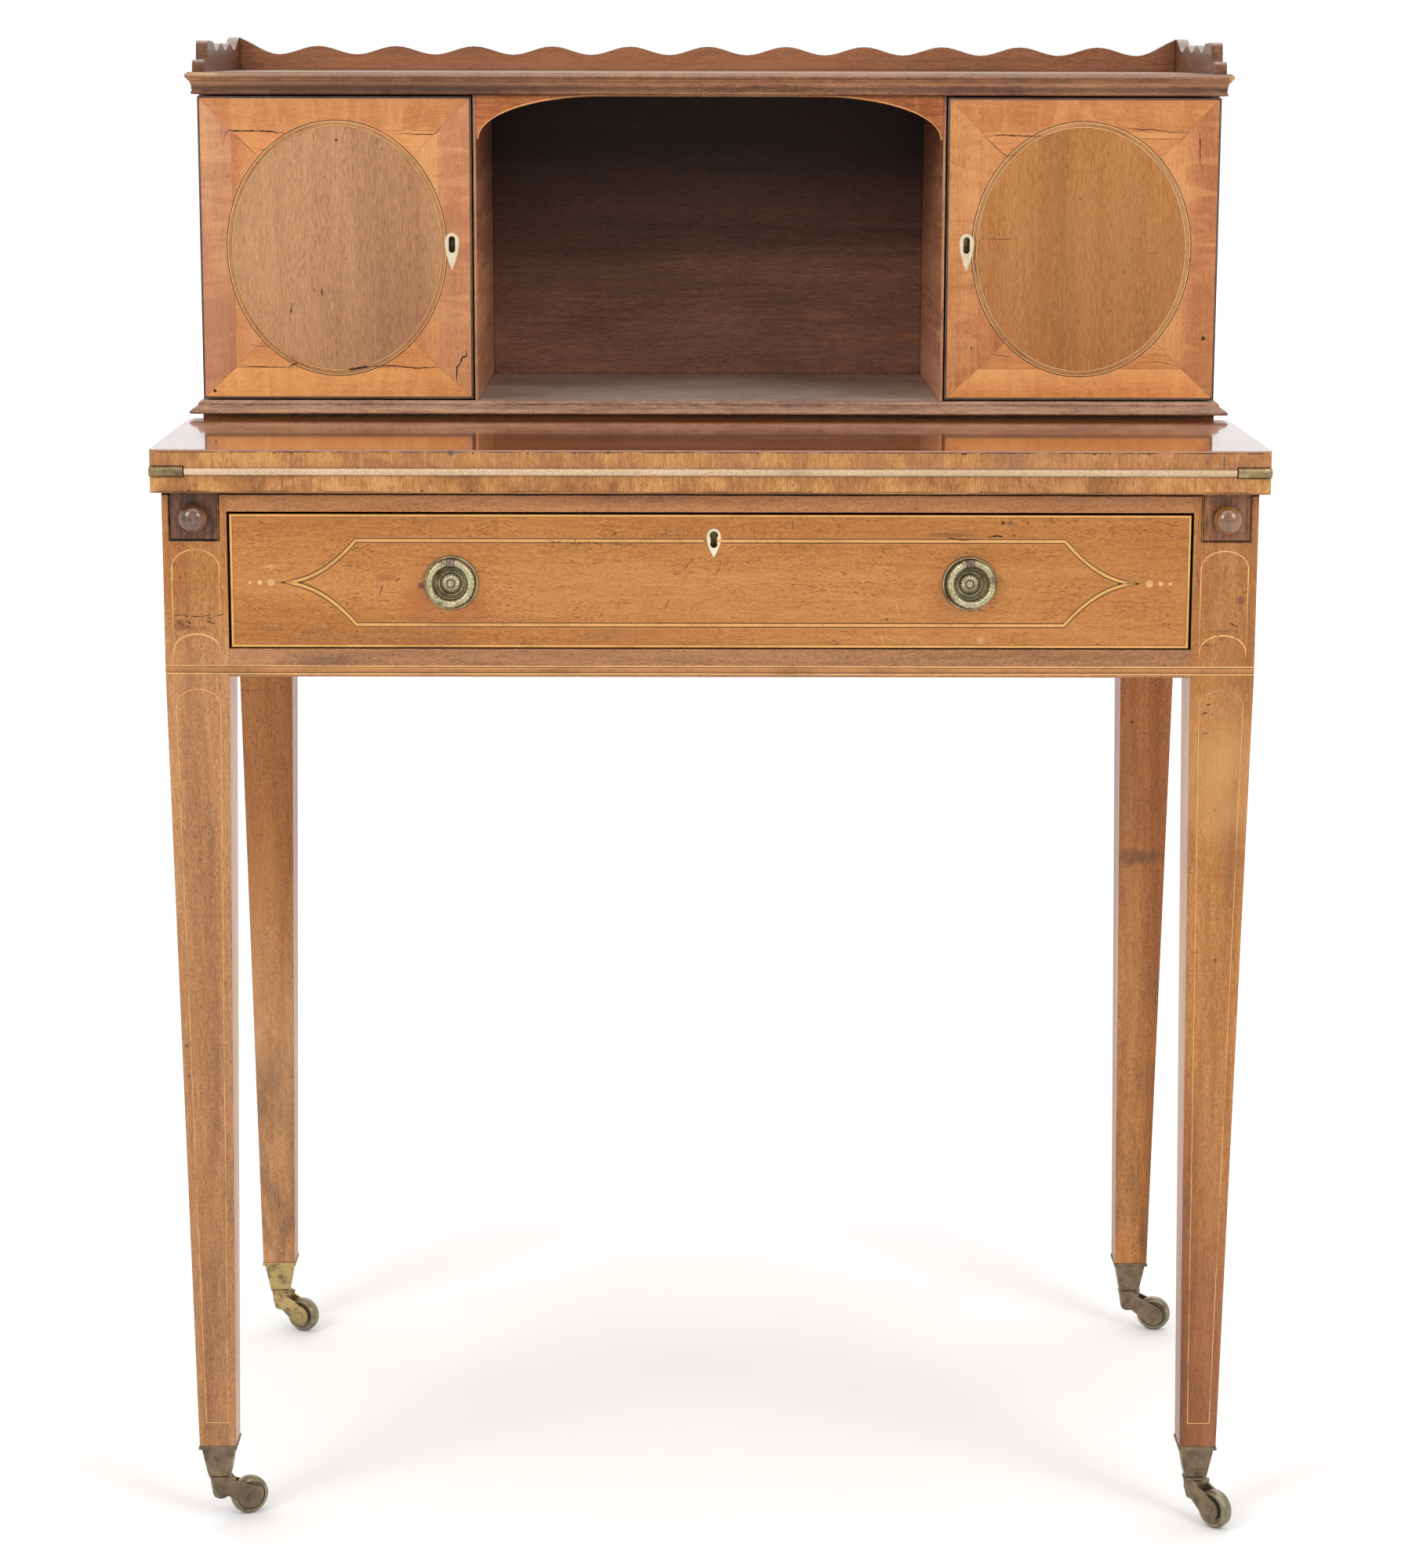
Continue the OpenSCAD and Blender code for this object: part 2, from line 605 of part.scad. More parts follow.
module drawer_front() {
    y1 = yf + drawer_t;
    color(satinwood) difference() {
        box([-dh, yf, dz0], [dh, y1, dz1]);
        // laps for the sides and groove for the bottom
        mirror_pair() box([dh - 0.8 - ds_t, y1 - 7, dz0 + 3.4], [dh - 0.8, y1 + 1, dz1 - 3]);
        box([-dh + 5, y1 - 5, dz0 + 9.4], [dh - 5, y1 + 1, dz0 + 14.6]);
        // seat of the lock and its keyhole
        box([-26, y1 - 9, dz1 - 34], [26, y1 + 1, dz1 + 1]);
        translate([2.3, yf + 12, esc_z - 4.6]) rotate([90, 0, 0]) linear_extrude(height = 14) key_shape(2.9, 6.3, 2.2, 2.5);
        translate([2.3, yf + 1, esc_z - 6.3]) rotate([90, 0, 0]) linear_extrude(height = 3) drop_shape(5.05, 6.4, 13.8);
        // holes for the handle bolts
        for (s = [-1, 1]) translate([s * handle_span / 2, y1 + 1, handle_z]) rotate([90, 0, 0]) cylinder(r = 2.6, h = drawer_t + 2);
    }
}

module drawer_box() {
    y1 = yf + drawer_t;
    color(mahogany) union() {
        mirror_pair() difference() {
            box([dh - 0.8 - ds_t, y1 - 7, dz0 + 3.4], [dh - 0.8, dyb, dz1 - 3]);
            box([dh - 0.8 - ds_t - 1, y1 - 8, dz0 + 9.4], [dh - 5, dyb + 1, dz0 + 14.6]);
        }
        // shoes under the sides, so that they run on the runners
        mirror_pair() box([dh - 0.8 - ds_t, y1, dz0], [dh - 0.8, dyb, dz0 + 3.4]);
        box([-dh + 0.8 + ds_t, dyb - 9, dz0 + 14.6], [dh - 0.8 - ds_t, dyb, dz1 - 5]);
    }
}

module drawer_bottom() {
    y1 = yf + drawer_t;
    color(mahogany) box([-dh + 5.2, y1 - 4.8, dz0 + 9.6], [dh - 5.2, dyb, dz0 + 14.4]);
}

module drawer_lock() {
    y1 = yf + drawer_t;
    color(brass) difference() {
        box([-25.9, y1 - 8.9, dz1 - 33.9], [25.9, y1, dz1]);
        box([-8.3, y1 - 6.2, dz1 - 26], [8.3, y1 - 1.8, dz1 + 1]);
        translate([2.3, y1 - 6, esc_z - 4.6]) rotate([90, 0, 0]) linear_extrude(height = 5) key_shape(2.9, 6.3, 2.2, 2.5);
    }
}

module drawer_lock_bolt() {
    y1 = yf + drawer_t;
    color(brass) box([-8, y1 - 6, dz1 - 18], [8, y1 - 2, dz1 - 0.2]);
}

module drawer_escutcheon() {
    color(bone) translate([2.3, yf + 1, esc_z - 6.3]) rotate([90, 0, 0]) linear_extrude(height = 1.1) difference() {
        drop_shape(5, 6.3, 13.7);
        translate([0, 1.7]) key_shape(2.9, 6.3, 2.2, 2.5);
    }
}

post_z = ring_r + 0.2;                   // pivot above the handle's centre
post_y = 5.4;                            // pivot in front of the drawer

// Stamped backplate, turned about the handle's axis, in (radius, height)
module backplate() {
    p = concat([[0, 0], [plate_r, 0], [plate_r + 0.1, 0.6]], arc(plate_r - 0.9, 0.9, 1.0, 0, 160, 6),
        [[plate_r - 2.4, 0.9], [13.6, 0.8], [12.6, 1.2]], arc(10.9, 1.5, 1.1, 10, 170, 6),
        [[9.6, 1.3], [8.9, 1.5]], arc(8.2, 1.9, 0.5, 20, 160, 3), [[7.5, 1.2], [7.0, 1.6], [5.6, 3.1], [3.9, 3.9], [2.6, 3.8]],
        [[2.4, 4.9]], arc(1.2, 4.5, 1.2, 20, 90, 3), [[0, 5.7]]);
    rotate([90, 0, 0]) rotate_extrude() polygon(p);
}

module handle_plates() {
    color(brass) for (s = [-1, 1]) translate([s * handle_span / 2, yf, handle_z]) {
        union() {
            difference() {
                union() {
                    backplate();
                    translate([-2.3, -post_y, post_z - 2.3]) cube([4.6, post_y - 0.2, 4.6]);
                    translate([-2.3, -post_y, post_z]) rotate([0, 90, 0]) cylinder(r = 2.3, h = 4.6);
                }
                translate([-9, -post_y, post_z]) rotate([0, 90, 0]) cylinder(r = 1.03, h = 18);
            }
            rotate([-90, 0, 0]) cylinder(r = 2.45, h = drawer_t + 5);
            translate([0, drawer_t, 0]) rotate([-90, 0, 0]) cylinder(r = 6.2, h = 3);
        }
    }
}

// Ring that hangs from a pin through the backplate's post, tilted a little by wear
module ring(s, tilt) {
    color(brass) translate([s * handle_span / 2, yf - post_y, handle_z + post_z]) {
        rotate([0, 90, 0]) cylinder(r = 1.0, h = 9.4, center = true);
        difference() {
            union() {
                rotate([0, tilt, 0]) translate([0, 0, -ring_r]) rotate([90, 0, 0]) rotate_extrude() translate([ring_r, 0]) circle(r = 2.05);
                mirror_pair() translate([2.75, 0, 0]) rotate([0, 90, 0]) cylinder(r = 2.0, h = 2.4);
            }
            // gap for the post
            translate([-2.6, -4, -4.5]) cube([5.2, 8, 9]);
        }
    }
}
module ring_left() { ring(-1, 2); }
module ring_right() { ring(1, -5); }

// ---- lopers ----

// Turned knob, in (radius, height off the face)
module knob() {
    p = concat([[0, -6], [4, -6], [4, 0], [6.4, 0], [6.1, 0.9], [4.6, 2.0], [4.3, 3.6], [5.2, 5.0], [7.4, 5.9]],
        arc(7.6, 8.1, 2.1, -70, 40, 6), [[8.2, 11.4], [6.3, 13.4], [3.6, 14.7], [0, 15.2]]);
    rotate([90, 0, 0]) rotate_extrude() polygon(p);
}

module loper() {
    z0 = loper_top - loper_h;
    color(mahogany) union() {
        difference() {
            union() {
                box([ch_in + 0.5, yf, z0], [ch_out - 0.5, yf + 20, loper_top]);
                box([bar_in, yf + 19, z0], [bar_in + bar_w, yf + 20 + loper_len, loper_top]);
            }
            translate([knob_x, yf + 7, knob_z]) rotate([90, 0, 0]) cylinder(r = 4.05, h = 8);
        }
        translate([knob_x, yf, knob_z]) knob();
    }
}
module loper_left() { mirror([1, 0, 0]) loper(); }
module loper_right() { loper(); }

// ---- castors ----

fork_top = cup_bot - 0.9;
cheek = wheel_w / 2 + 0.35;
cheek_t = 1.8;

module fork() {
    color(brass) union() {
        difference() {
            union() {
                // swivel disc and tapered boss
                rotate_extrude() polygon([[0, fork_top], [7.6, fork_top], [8.6, fork_top - 0.8], [8.6, fork_top - 1.9], [7.9, fork_top - 2.6],
                    [7.5, fork_top - 5.5], [6.1, 19], [5.2, 16.2], [3.4, 15], [0, 15]]);
                // cheeks
                for (s = [-1, 1]) translate([0, s * (cheek + cheek_t / 2) + cheek_t / 2, 0]) rotate([90, 0, 0]) linear_extrude(height = cheek_t)
                    hull() {
                        translate([1.5, 25.3]) circle(r = 5.2, $fn = 32);
                        translate([6, 20.5]) circle(r = 4, $fn = 32);
                        translate([trail, wheel_r]) circle(r = 8.2, $fn = 32);
                    }
                // crown between the cheeks
                box([0, -cheek - cheek_t, 18.5], [9, cheek + cheek_t, fork_top - 2.2]);
            }
            // room for the wheel
            translate([trail, cheek, wheel_r]) rotate([90, 0, 0]) cylinder(r = wheel_r + 0.7, h = 2 * cheek);
        }
        // stem, riveted over inside the cup
        translate([0, 0, fork_top - 1]) cylinder(r = 2.5, h = cup_bot + 4 - fork_top + 1);
        translate([0, 0, cup_bot + 4.0]) cylinder(r = 4.4, h = 2.2);
        // axle rivet
        translate([trail, cheek + cheek_t + 0.7, wheel_r]) rotate([90, 0, 0]) cylinder(r = 2.0, h = 2 * (cheek + cheek_t + 0.7));
        for (s = [-1, 1]) translate([trail, s * (cheek + cheek_t + 0.35) + 0.35, wheel_r]) rotate([90, 0, 0]) cylinder(r = 3.1, h = 0.7);
    }
}

module fork_at(i) { translate([castor_at[i][0], castor_at[i][1], 0]) rotate([0, 0, castor_at[i][2]]) fork(); }
module fork_front_left() { fork_at(0); }
module fork_front_right() { fork_at(1); }
module fork_rear_left() { fork_at(2); }
module fork_rear_right() { fork_at(3); }

module wheel() {
    w = wheel_w / 2;
    p = concat([[2.05, -w], [4.4, -w], [5.2, -w + 0.9], [9.8, -w + 0.9], [10.6, -w], [wheel_r - 1.6, -w]],
        [for (i = [0:8]) let (a = -80 + 160 * i / 8) [wheel_r - 1.6 + 1.6 * cos(a) / cos(0), (w - 0.3) * sin(a)]],
        [[wheel_r - 1.6, w], [10.6, w], [9.8, w - 0.9], [5.2, w - 0.9], [4.4, w], [2.05, w]]);
    color(brass) translate([trail, 0, wheel_r]) rotate([90, 0, 0]) rotate_extrude($fn = 96) polygon(p);
}
module wheel_at(i) { translate([castor_at[i][0], castor_at[i][1], 0]) rotate([0, 0, castor_at[i][2]]) wheel(); }
module wheel_front_left() { wheel_at(0); }
module wheel_front_right() { wheel_at(1); }
module wheel_rear_left() { wheel_at(2); }
module wheel_rear_right() { wheel_at(3); }

leg_front_left();
leg_front_right();
leg_rear_left();
leg_rear_right();
castor_cups();
side_rails();
back_rail();
front_top_rail();
front_bottom_rail();
drawer_runners();
loper_guides();
table_top();
bed_lining();
joint_lining();
leaf_hinges_fixed();
cabinet_plinth();
cabinet_bottom();
cabinet_sides();
partitions();
cabinet_top();
cabinet_back();
base_moulding();
cornice();
arch_apron();
gallery_back();
gallery_left();
gallery_right();
door_pivot_plates();
fold_leaf();
leaf_lining();
leaf_hinges_moving();
loper_left();
loper_right();
drawer_front();
drawer_box();
drawer_bottom();
drawer_lock();
drawer_lock_bolt();
drawer_escutcheon();
handle_plates();
ring_left();
ring_right();
door_left();
door_right();
door_left_escutcheon();
door_right_escutcheon();
door_left_sockets();
door_right_sockets();
door_left_lock();
door_right_lock();
door_left_bolt();
door_right_bolt();
fork_front_left();
fork_front_right();
fork_rear_left();
fork_rear_right();
wheel_front_left();
wheel_front_right();
wheel_rear_left();
wheel_rear_right();
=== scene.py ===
import math
import random

import bpy
import bmesh
from mathutils import Matrix, Vector, noise as mn


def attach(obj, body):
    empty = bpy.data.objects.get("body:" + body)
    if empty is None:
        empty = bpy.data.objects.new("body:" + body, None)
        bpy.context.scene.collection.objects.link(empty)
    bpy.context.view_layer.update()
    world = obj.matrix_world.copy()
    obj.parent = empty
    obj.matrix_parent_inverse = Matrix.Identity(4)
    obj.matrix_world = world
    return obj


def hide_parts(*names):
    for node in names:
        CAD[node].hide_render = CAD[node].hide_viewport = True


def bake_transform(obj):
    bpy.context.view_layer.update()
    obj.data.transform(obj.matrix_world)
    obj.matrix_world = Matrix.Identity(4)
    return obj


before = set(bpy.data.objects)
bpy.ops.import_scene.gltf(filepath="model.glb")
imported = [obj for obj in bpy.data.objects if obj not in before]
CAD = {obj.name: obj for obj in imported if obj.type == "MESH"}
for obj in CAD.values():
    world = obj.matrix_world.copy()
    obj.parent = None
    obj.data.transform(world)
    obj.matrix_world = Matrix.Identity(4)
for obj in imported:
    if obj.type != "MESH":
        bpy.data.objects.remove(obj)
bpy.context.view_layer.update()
scene = bpy.context.scene
MM = 0.001


# ---------------------------------------------------------------- shader helpers

class Tree:
    """A material under construction: short names for its nodes."""

    def __init__(self, name):
        self.mat = bpy.data.materials.new(name)
        self.mat.use_nodes = True
        self.nt = self.mat.node_tree
        self.nt.nodes.clear()
        self.out = self.nt.nodes.new("ShaderNodeOutputMaterial")
        self.bsdf = self.nt.nodes.new("ShaderNodeBsdfPrincipled")
        self.nt.links.new(self.bsdf.outputs[0], self.out.inputs[0])
        tc = self.nt.nodes.new("ShaderNodeTexCoord")
        self.obj, self.nrm = tc.outputs["Object"], tc.outputs["Normal"]
        self._xyz = None

    def put(self, socket, value):
        if isinstance(value, bpy.types.NodeSocket):
            self.nt.links.new(value, socket)
        elif hasattr(value, "__len__") and len(value) == 3 and socket.type == "RGBA":
            socket.default_value = (*value, 1)
        else:
            socket.default_value = value

    def node(self, kind, **props):
        n = self.nt.nodes.new(kind)
        for k, v in props.items():
            setattr(n, k, v)
        return n

    def m(self, op, a, b=None, c=None, clamp=False):
        n = self.node("ShaderNodeMath", operation=op, use_clamp=clamp)
        for s, v in zip(n.inputs, (a, b, c)):
            if v is not None:
                self.put(s, v)
        return n.outputs[0]

    def vm(self, op, a, b=None):
        n = self.node("ShaderNodeVectorMath", operation=op)
        self.put(n.inputs[0], a)
        if b is not None:
            self.put(n.inputs[3] if op == "SCALE" else n.inputs[1], b)
        return n.outputs["Value"] if op in ("LENGTH", "DISTANCE", "DOT_PRODUCT") else n.outputs["Vector"]

    def xyz(self, vec=None):
        if vec is None:
            if self._xyz is None:
                self._xyz = self.xyz(self.obj)
            return self._xyz
        n = self.node("ShaderNodeSeparateXYZ")
        self.put(n.inputs[0], vec)
        return n.outputs[0], n.outputs[1], n.outputs[2]

    def comb(self, x, y, z):
        n = self.node("ShaderNodeCombineXYZ")
        for s, v in zip(n.inputs, (x, y, z)):
            self.put(s, v)
        return n.outputs[0]

    def scaled(self, vec, s, loc=(0, 0, 0), rot=(0, 0, 0)):
        n = self.node("ShaderNodeMapping")
        self.put(n.inputs["Vector"], vec)
        n.inputs["Location"].default_value = loc
        n.inputs["Rotation"].default_value = rot
        n.inputs["Scale"].default_value = s
        return n.outputs[0]

    def noise(self, vec, scale=1.0, detail=2.0, rough=0.5, dist=0.0):
        n = self.node("ShaderNodeTexNoise", noise_dimensions="3D")
        self.put(n.inputs["Vector"], vec)
        n.inputs["Scale"].default_value = scale
        n.inputs["Detail"].default_value = detail
        n.inputs["Roughness"].default_value = rough
        n.inputs["Distortion"].default_value = dist
        return n.outputs["Fac"]

    def cells(self, vec, scale, rand=1.0):
        n = self.node("ShaderNodeTexVoronoi", feature="F1")
        self.put(n.inputs["Vector"], vec)
        n.inputs["Scale"].default_value = scale
        n.inputs["Randomness"].default_value = rand
        return n.outputs["Distance"], n.outputs["Color"]

    def rng(self, v, a, b, c=0.0, d=1.0, smooth=False):
        n = self.node("ShaderNodeMapRange", interpolation_type="SMOOTHSTEP" if smooth else "LINEAR")
        n.clamp = True
        for s, x in zip(("Value", "From Min", "From Max", "To Min", "To Max"), (v, a, b, c, d)):
            self.put(n.inputs[s], x)
        return n.outputs[0]

    def mix(self, f, a, b, mode="MIX"):
        n = self.node("ShaderNodeMix", data_type="RGBA", blend_type=mode, clamp_factor=True)
        self.put(n.inputs[0], f)
        self.put(n.inputs[6], a)
        self.put(n.inputs[7], b)
        return n.outputs[2]

    def mixv(self, f, a, b):
        n = self.node("ShaderNodeMix", data_type="VECTOR", clamp_factor=True)
        self.put(n.inputs[0], f)
        self.put(n.inputs[4], a)
        self.put(n.inputs[5], b)
        return n.outputs[1]

    def ramp(self, f, stops, ease=False):
        n = self.node("ShaderNodeValToRGB")
        r = n.color_ramp
        r.interpolation = "EASE" if ease else "LINEAR"
        while len(r.elements) < len(stops):
            r.elements.new(0.5)
        for e, (p, c) in zip(r.elements, stops):
            e.position = p
            e.color = (*c, 1) if len(c) == 3 else c
        self.put(n.inputs[0], f)
        return n.outputs[0]

    def spot(self, at, r, soft=0.5, stretch=(1, 1, 1), wob=0.0, vec=None):
        """1 inside a small place, 0 outside."""
        v = self.vm("SUBTRACT", vec or self.obj, at)
        if stretch != (1, 1, 1):
            v = self.vm("MULTIPLY", v, stretch)
        d = self.vm("LENGTH", v)
        if wob:
            d = self.m("ADD", d, self.m("MULTIPLY", self.m("SUBTRACT", self.noise(self.obj, 1.2 / r, 2), 0.5), wob * r))
        return self.rng(d, r, r * (1 - soft), 0, 1)

    def edge(self, radius):
        """1 on the arrises of the piece, 0 on its faces; also the softened normal."""
        b = self.node("ShaderNodeBevel", samples=4)
        b.inputs["Radius"].default_value = radius
        g = self.node("ShaderNodeNewGeometry")
        d = self.vm("DOT_PRODUCT", b.outputs[0], g.outputs["Normal"])
        return self.rng(d, 0.995, 0.86), b.outputs[0]

    def crevice(self, dist):
        a = self.node("ShaderNodeAmbientOcclusion", samples=4)
        a.inputs["Distance"].default_value = dist
        return self.rng(a.outputs["AO"], 0.75, 0.25)

    def bump(self, height, strength, dist, normal=None):
        n = self.node("ShaderNodeBump")
        n.inputs["Strength"].default_value = strength
        n.inputs["Distance"].default_value = dist
        self.put(n.inputs["Height"], height)
        if normal is not None:
            self.put(n.inputs["Normal"], normal)
        return n.outputs[0]


def shade(c, k):
    return tuple(min(1.0, x * k) for x in c)


def blendc(a, b, t):
    return tuple(x * (1 - t) + y * t for x, y in zip(a, b))


def wood(name, mid, dark, light, grain="X", seed=0.0, fig=1.0, streak=0.5, pores=0.5, pore=(320, 2000),
         patch=0.3, patch_col=None, rough=0.36, coat=0.16, coat_rough=0.13, wear=0.3, wear_col=None, dirt=0.6,
         edge_r=0.0009, band=None, band_tint=(1, 1, 1), dust=None, scratch=0.35, dents=0.25, bump=0.3,
         ripple=0.0, wave=0.0, marks=(), foot=None, spec=0.36, kb=1.5, kf=1.5, height_tint=None, cre=0.0045, arris=(0.55, 0.36), grit=1.15, long=1.0, fade_in=False):
    """Old polished wood. band=faces whose grain turns to Z, as short-grain crossbanding does."""
    t = Tree(name)
    x, y, z = t.xyz()
    along = {"X": (x, y, z), "Y": (y, x, z), "Z": (z, x, y)}[grain]
    g = t.comb(*along)
    edge_face = None
    if band:
        nx, ny, nz = t.xyz(t.nrm)
        side = {"XY": lambda: t.m("MAXIMUM", t.m("ABSOLUTE", nx), t.m("ABSOLUTE", ny)),
                "Y": lambda: t.m("ABSOLUTE", ny)}[band]()
        edge_face = t.rng(side, 0.7, 0.75)
        g = t.mixv(edge_face, g, t.comb(z, x, y))
    g = t.vm("ADD", g, (seed * 1.37, seed * 0.71, seed * 2.13))
    # slow warp, so that the grain isn't ruled
    warp = t.noise(t.scaled(g, (3.0, 9.0, 9.0)), 1.0, 2.0)
    gw = t.vm("ADD", g, t.comb(0.0, t.m("MULTIPLY", t.m("SUBTRACT", warp, 0.5), 0.02), t.m("MULTIPLY", t.m("SUBTRACT", warp, 0.5), 0.015)))
    broad = t.noise(t.scaled(gw, (1.6, 26 * fig, 26 * fig)), 1.0, 3.0, 0.55, 0.4)
    if band:
        part = t.m("MULTIPLY", edge_face, 0.65)
        broad = t.m("ADD", t.m("MULTIPLY", broad, t.m("SUBTRACT", 1.0, part)), t.m("MULTIPLY", t.noise(t.scaled(t.obj, (34, 34, 40), loc=(seed, 0, 0)), 1.0, 4.0, 0.68, 0.6), part))
    stk = t.noise(t.scaled(gw, (15, 280, 280)), 1.0, 4.0, 0.62)
    fine = t.noise(t.scaled(gw, (95 / long, 820, 820)), 1.0, 3.0, 0.62)
    fib = t.noise(t.scaled(gw, (420 / long, 1750, 1750)), 1.0, 2.0, 0.6)
    f = t.m("MULTIPLY_ADD", broad, kb, 0.5 - 0.5 * (kb + 3.0 * streak + kf + grit))
    f = t.m("MULTIPLY_ADD", stk, 3.0 * streak, f)
    f = t.m("MULTIPLY_ADD", fine, kf, f)
    f = t.m("MULTIPLY_ADD", fib, grit, f)
    col = t.ramp(f, [(0.0, dark), (0.27, blendc(mid, dark, 0.5)), (0.5, mid), (0.75, blendc(mid, light, 0.75)), (1.0, shade(light, 1.06))])
    if ripple:
        # cross figure, as mottled satinwood has
        rp = t.noise(t.scaled(gw, (85, 26, 26)), 1.0, 3.0, 0.55, 0.9)
        col = t.mix(t.rng(rp, 0.49, 0.68, 0, ripple), col, shade(light, 1.05))
        col = t.mix(t.rng(rp, 0.49, 0.28, 0, ripple * 0.9), col, blendc(mid, dark, 0.7))
    if patch:
        pt = t.noise(t.scaled(g, (5, 13, 13)), 1.0, 3.0, 0.6)
        col = t.mix(t.rng(pt, 0.48, 0.72, 0, patch), col, patch_col or blendc(mid, dark, 0.5))
    # open pores: short dark strokes along the grain
    pr = t.noise(t.scaled(g, (pore[0], pore[1], pore[1])), 1.0, 1.0, 0.4)
    pm = t.noise(t.scaled(g, (22, 60, 60)), 1.0, 2.0)
    pmask = t.m("MULTIPLY", t.rng(pr, 0.595, 0.69), t.rng(pm, 0.40, 0.60, 0.2, 1.0))
    col = t.mix(t.m("MULTIPLY", pmask, pores), col, shade(dark, 0.5))
    rgh = t.m("ADD", t.m("MULTIPLY", t.m("SUBTRACT", stk, 0.5), 0.16), rough)
    h = t.m("SUBTRACT", t.m("MULTIPLY", fib, 0.25), pmask)
    if scratch:
        # long fine scratches in two directions
        s1 = t.noise(t.scaled(t.obj, (3, 3, 1), rot=(0.3, 0.9, 0.35)), 1.0, 0)
        a = t.noise(t.scaled(t.obj, (900, 900, 14), rot=(0.25, 0.12, 0.3)), 1.0, 1.0, 0.3)
        b = t.noise(t.scaled(t.obj, (16, 700, 950), rot=(0.1, 0.28, 0.16)), 1.0, 1.0, 0.3)
        sm = t.m("MULTIPLY", t.rng(a, 0.70, 0.76), t.rng(s1, 0.50, 0.66))
        sn = t.m("MULTIPLY", t.rng(b, 0.71, 0.77), t.rng(s1, 0.52, 0.36))
        sm = t.m("MULTIPLY", sm, t.rng(t.noise(t.obj, 31, 2), 0.50, 0.60))
        sn = t.m("MULTIPLY", sn, t.rng(t.noise(t.obj, 24, 2), 0.48, 0.60))
        col = t.mix(t.m("MULTIPLY", sm, scratch * 0.30), col, blendc(light, (0.75, 0.56, 0.38), 0.4))
        col = t.mix(t.m("MULTIPLY", sn, scratch * 0.5), col, shade(dark, 0.5))
        h = t.m("SUBTRACT", h, t.m("MULTIPLY", t.m("MAXIMUM", sm, sn), 1.5 * scratch))
    if dents:
        d, dc = t.cells(t.scaled(t.obj, (1, 1, 1), loc=(seed, seed, 0)), 46)
        dr, dg, db = t.xyz(dc)
        dm = t.m("MULTIPLY", t.rng(d, 0.075, 0.02), t.rng(dr, 0.84, 0.86))
        col = t.mix(t.m("MULTIPLY", dm, dents * 2, clamp=True), col, shade(dark, 0.45))
        h = t.m("SUBTRACT", h, t.m("MULTIPLY", dm, 3 * dents))
    for mk in marks:
        msk = t.spot(mk[0], mk[1], mk[4] if len(mk) > 4 else 0.5, mk[5] if len(mk) > 5 else (1, 1, 1), mk[6] if len(mk) > 6 else 0.8)
        col = t.mix(t.m("MULTIPLY", msk, mk[3]), col, mk[2])
    e, soft = t.edge(edge_r)
    brk = t.noise(t.obj, 70, 3, 0.65)
    col = t.mix(t.m("MULTIPLY", t.m("MULTIPLY", e, t.rng(brk, 0.40, 0.62)), wear), col, wear_col or blendc(light, (0.72, 0.50, 0.30), 0.35))
    col = t.mix(t.m("MULTIPLY", t.m("MULTIPLY", e, t.rng(brk, arris[0], arris[1])), min(1.0, dirt * 0.9)), col, shade(dark, 0.3))
    # darker in crevices and between parts, from ambient occlusion: painted shade along with grime; a wider reach (cre)
    # spreads the painted shade further
    if dirt:
        c = t.crevice(cre)
        col = t.mix(t.m("MULTIPLY", c, dirt), col, shade(dark, 0.22))
        rgh = t.m("ADD", rgh, t.m("MULTIPLY", c, 0.25))
    if foot:
        f = t.m("MULTIPLY", t.rng(z, foot[1], foot[0]), t.rng(t.noise(t.scaled(t.obj, (60, 60, 18)), 1.0, 4, 0.7), 0.44, 0.66))
        col = t.mix(t.m("MULTIPLY", f, foot[2]), col, (0.035, 0.028, 0.022))
    if band and band_tint != (1, 1, 1):
        col = t.mix(edge_face, col, t.mix(1.0, col, band_tint, "MULTIPLY"))
    if dust:
        # dust=(amount, colour): it lies on upward faces
        nx2, ny2, nz2 = t.xyz(t.nrm)
        up = t.rng(nz2, 0.55, 0.9)
        dn = t.noise(t.scaled(t.obj, (7, 11, 7)), 1.0, 4, 0.6, 0.2)
        dk = t.noise(t.scaled(t.obj, (70, 110, 70)), 1.0, 4, 0.7)
        fine = t.noise(t.obj, 900, 2, 0.7)
        dm = t.m("MULTIPLY_ADD", t.rng(dk, 0.33, 0.66), 0.34, t.rng(dn, 0.28, 0.66, 0.16, 0.66))
        dm = t.m("MULTIPLY", up, t.m("MULTIPLY", dm, t.rng(fine, 0.25, 0.6, 0.55, 1.0)))
        dm = t.m("MULTIPLY", dm, dust[0])
        col = t.mix(dm, col, dust[1])
        rgh = t.m("ADD", rgh, t.m("MULTIPLY", dm, 0.45))
    if height_tint:
        # tint by height, (z0, z1, tint): full tint at z0, none at z1; in the niche, on the cornice and on the rear legs
        # it is painted shade
        fm = t.rng(z, height_tint[1], height_tint[0], smooth=True)
        if fade_in:
            # only on the face that looks at the sitter
            fx, fy, fz = t.xyz(t.nrm)
            fm = t.m("MULTIPLY", fm, t.rng(fy, -0.3, -0.6))
        col = t.mix(fm, col, t.mix(1.0, col, height_tint[2], "MULTIPLY"))
    t.put(t.bsdf.inputs["Base Color"], col)
    t.put(t.bsdf.inputs["Roughness"], t.m("MINIMUM", rgh, 0.95))
    t.bsdf.inputs["Specular IOR Level"].default_value = spec
    t.bsdf.inputs["Coat Weight"].default_value = coat
    t.bsdf.inputs["Coat Roughness"].default_value = coat_rough
    if wave:
        lo = t.noise(t.scaled(t.obj, (7, 11, 7)), 1.0, 1.5)
        soft = t.bump(lo, 0.25, wave, soft)
    t.put(t.bsdf.inputs["Normal"], t.bump(h, bump, 0.00012, soft))
    return t.mat


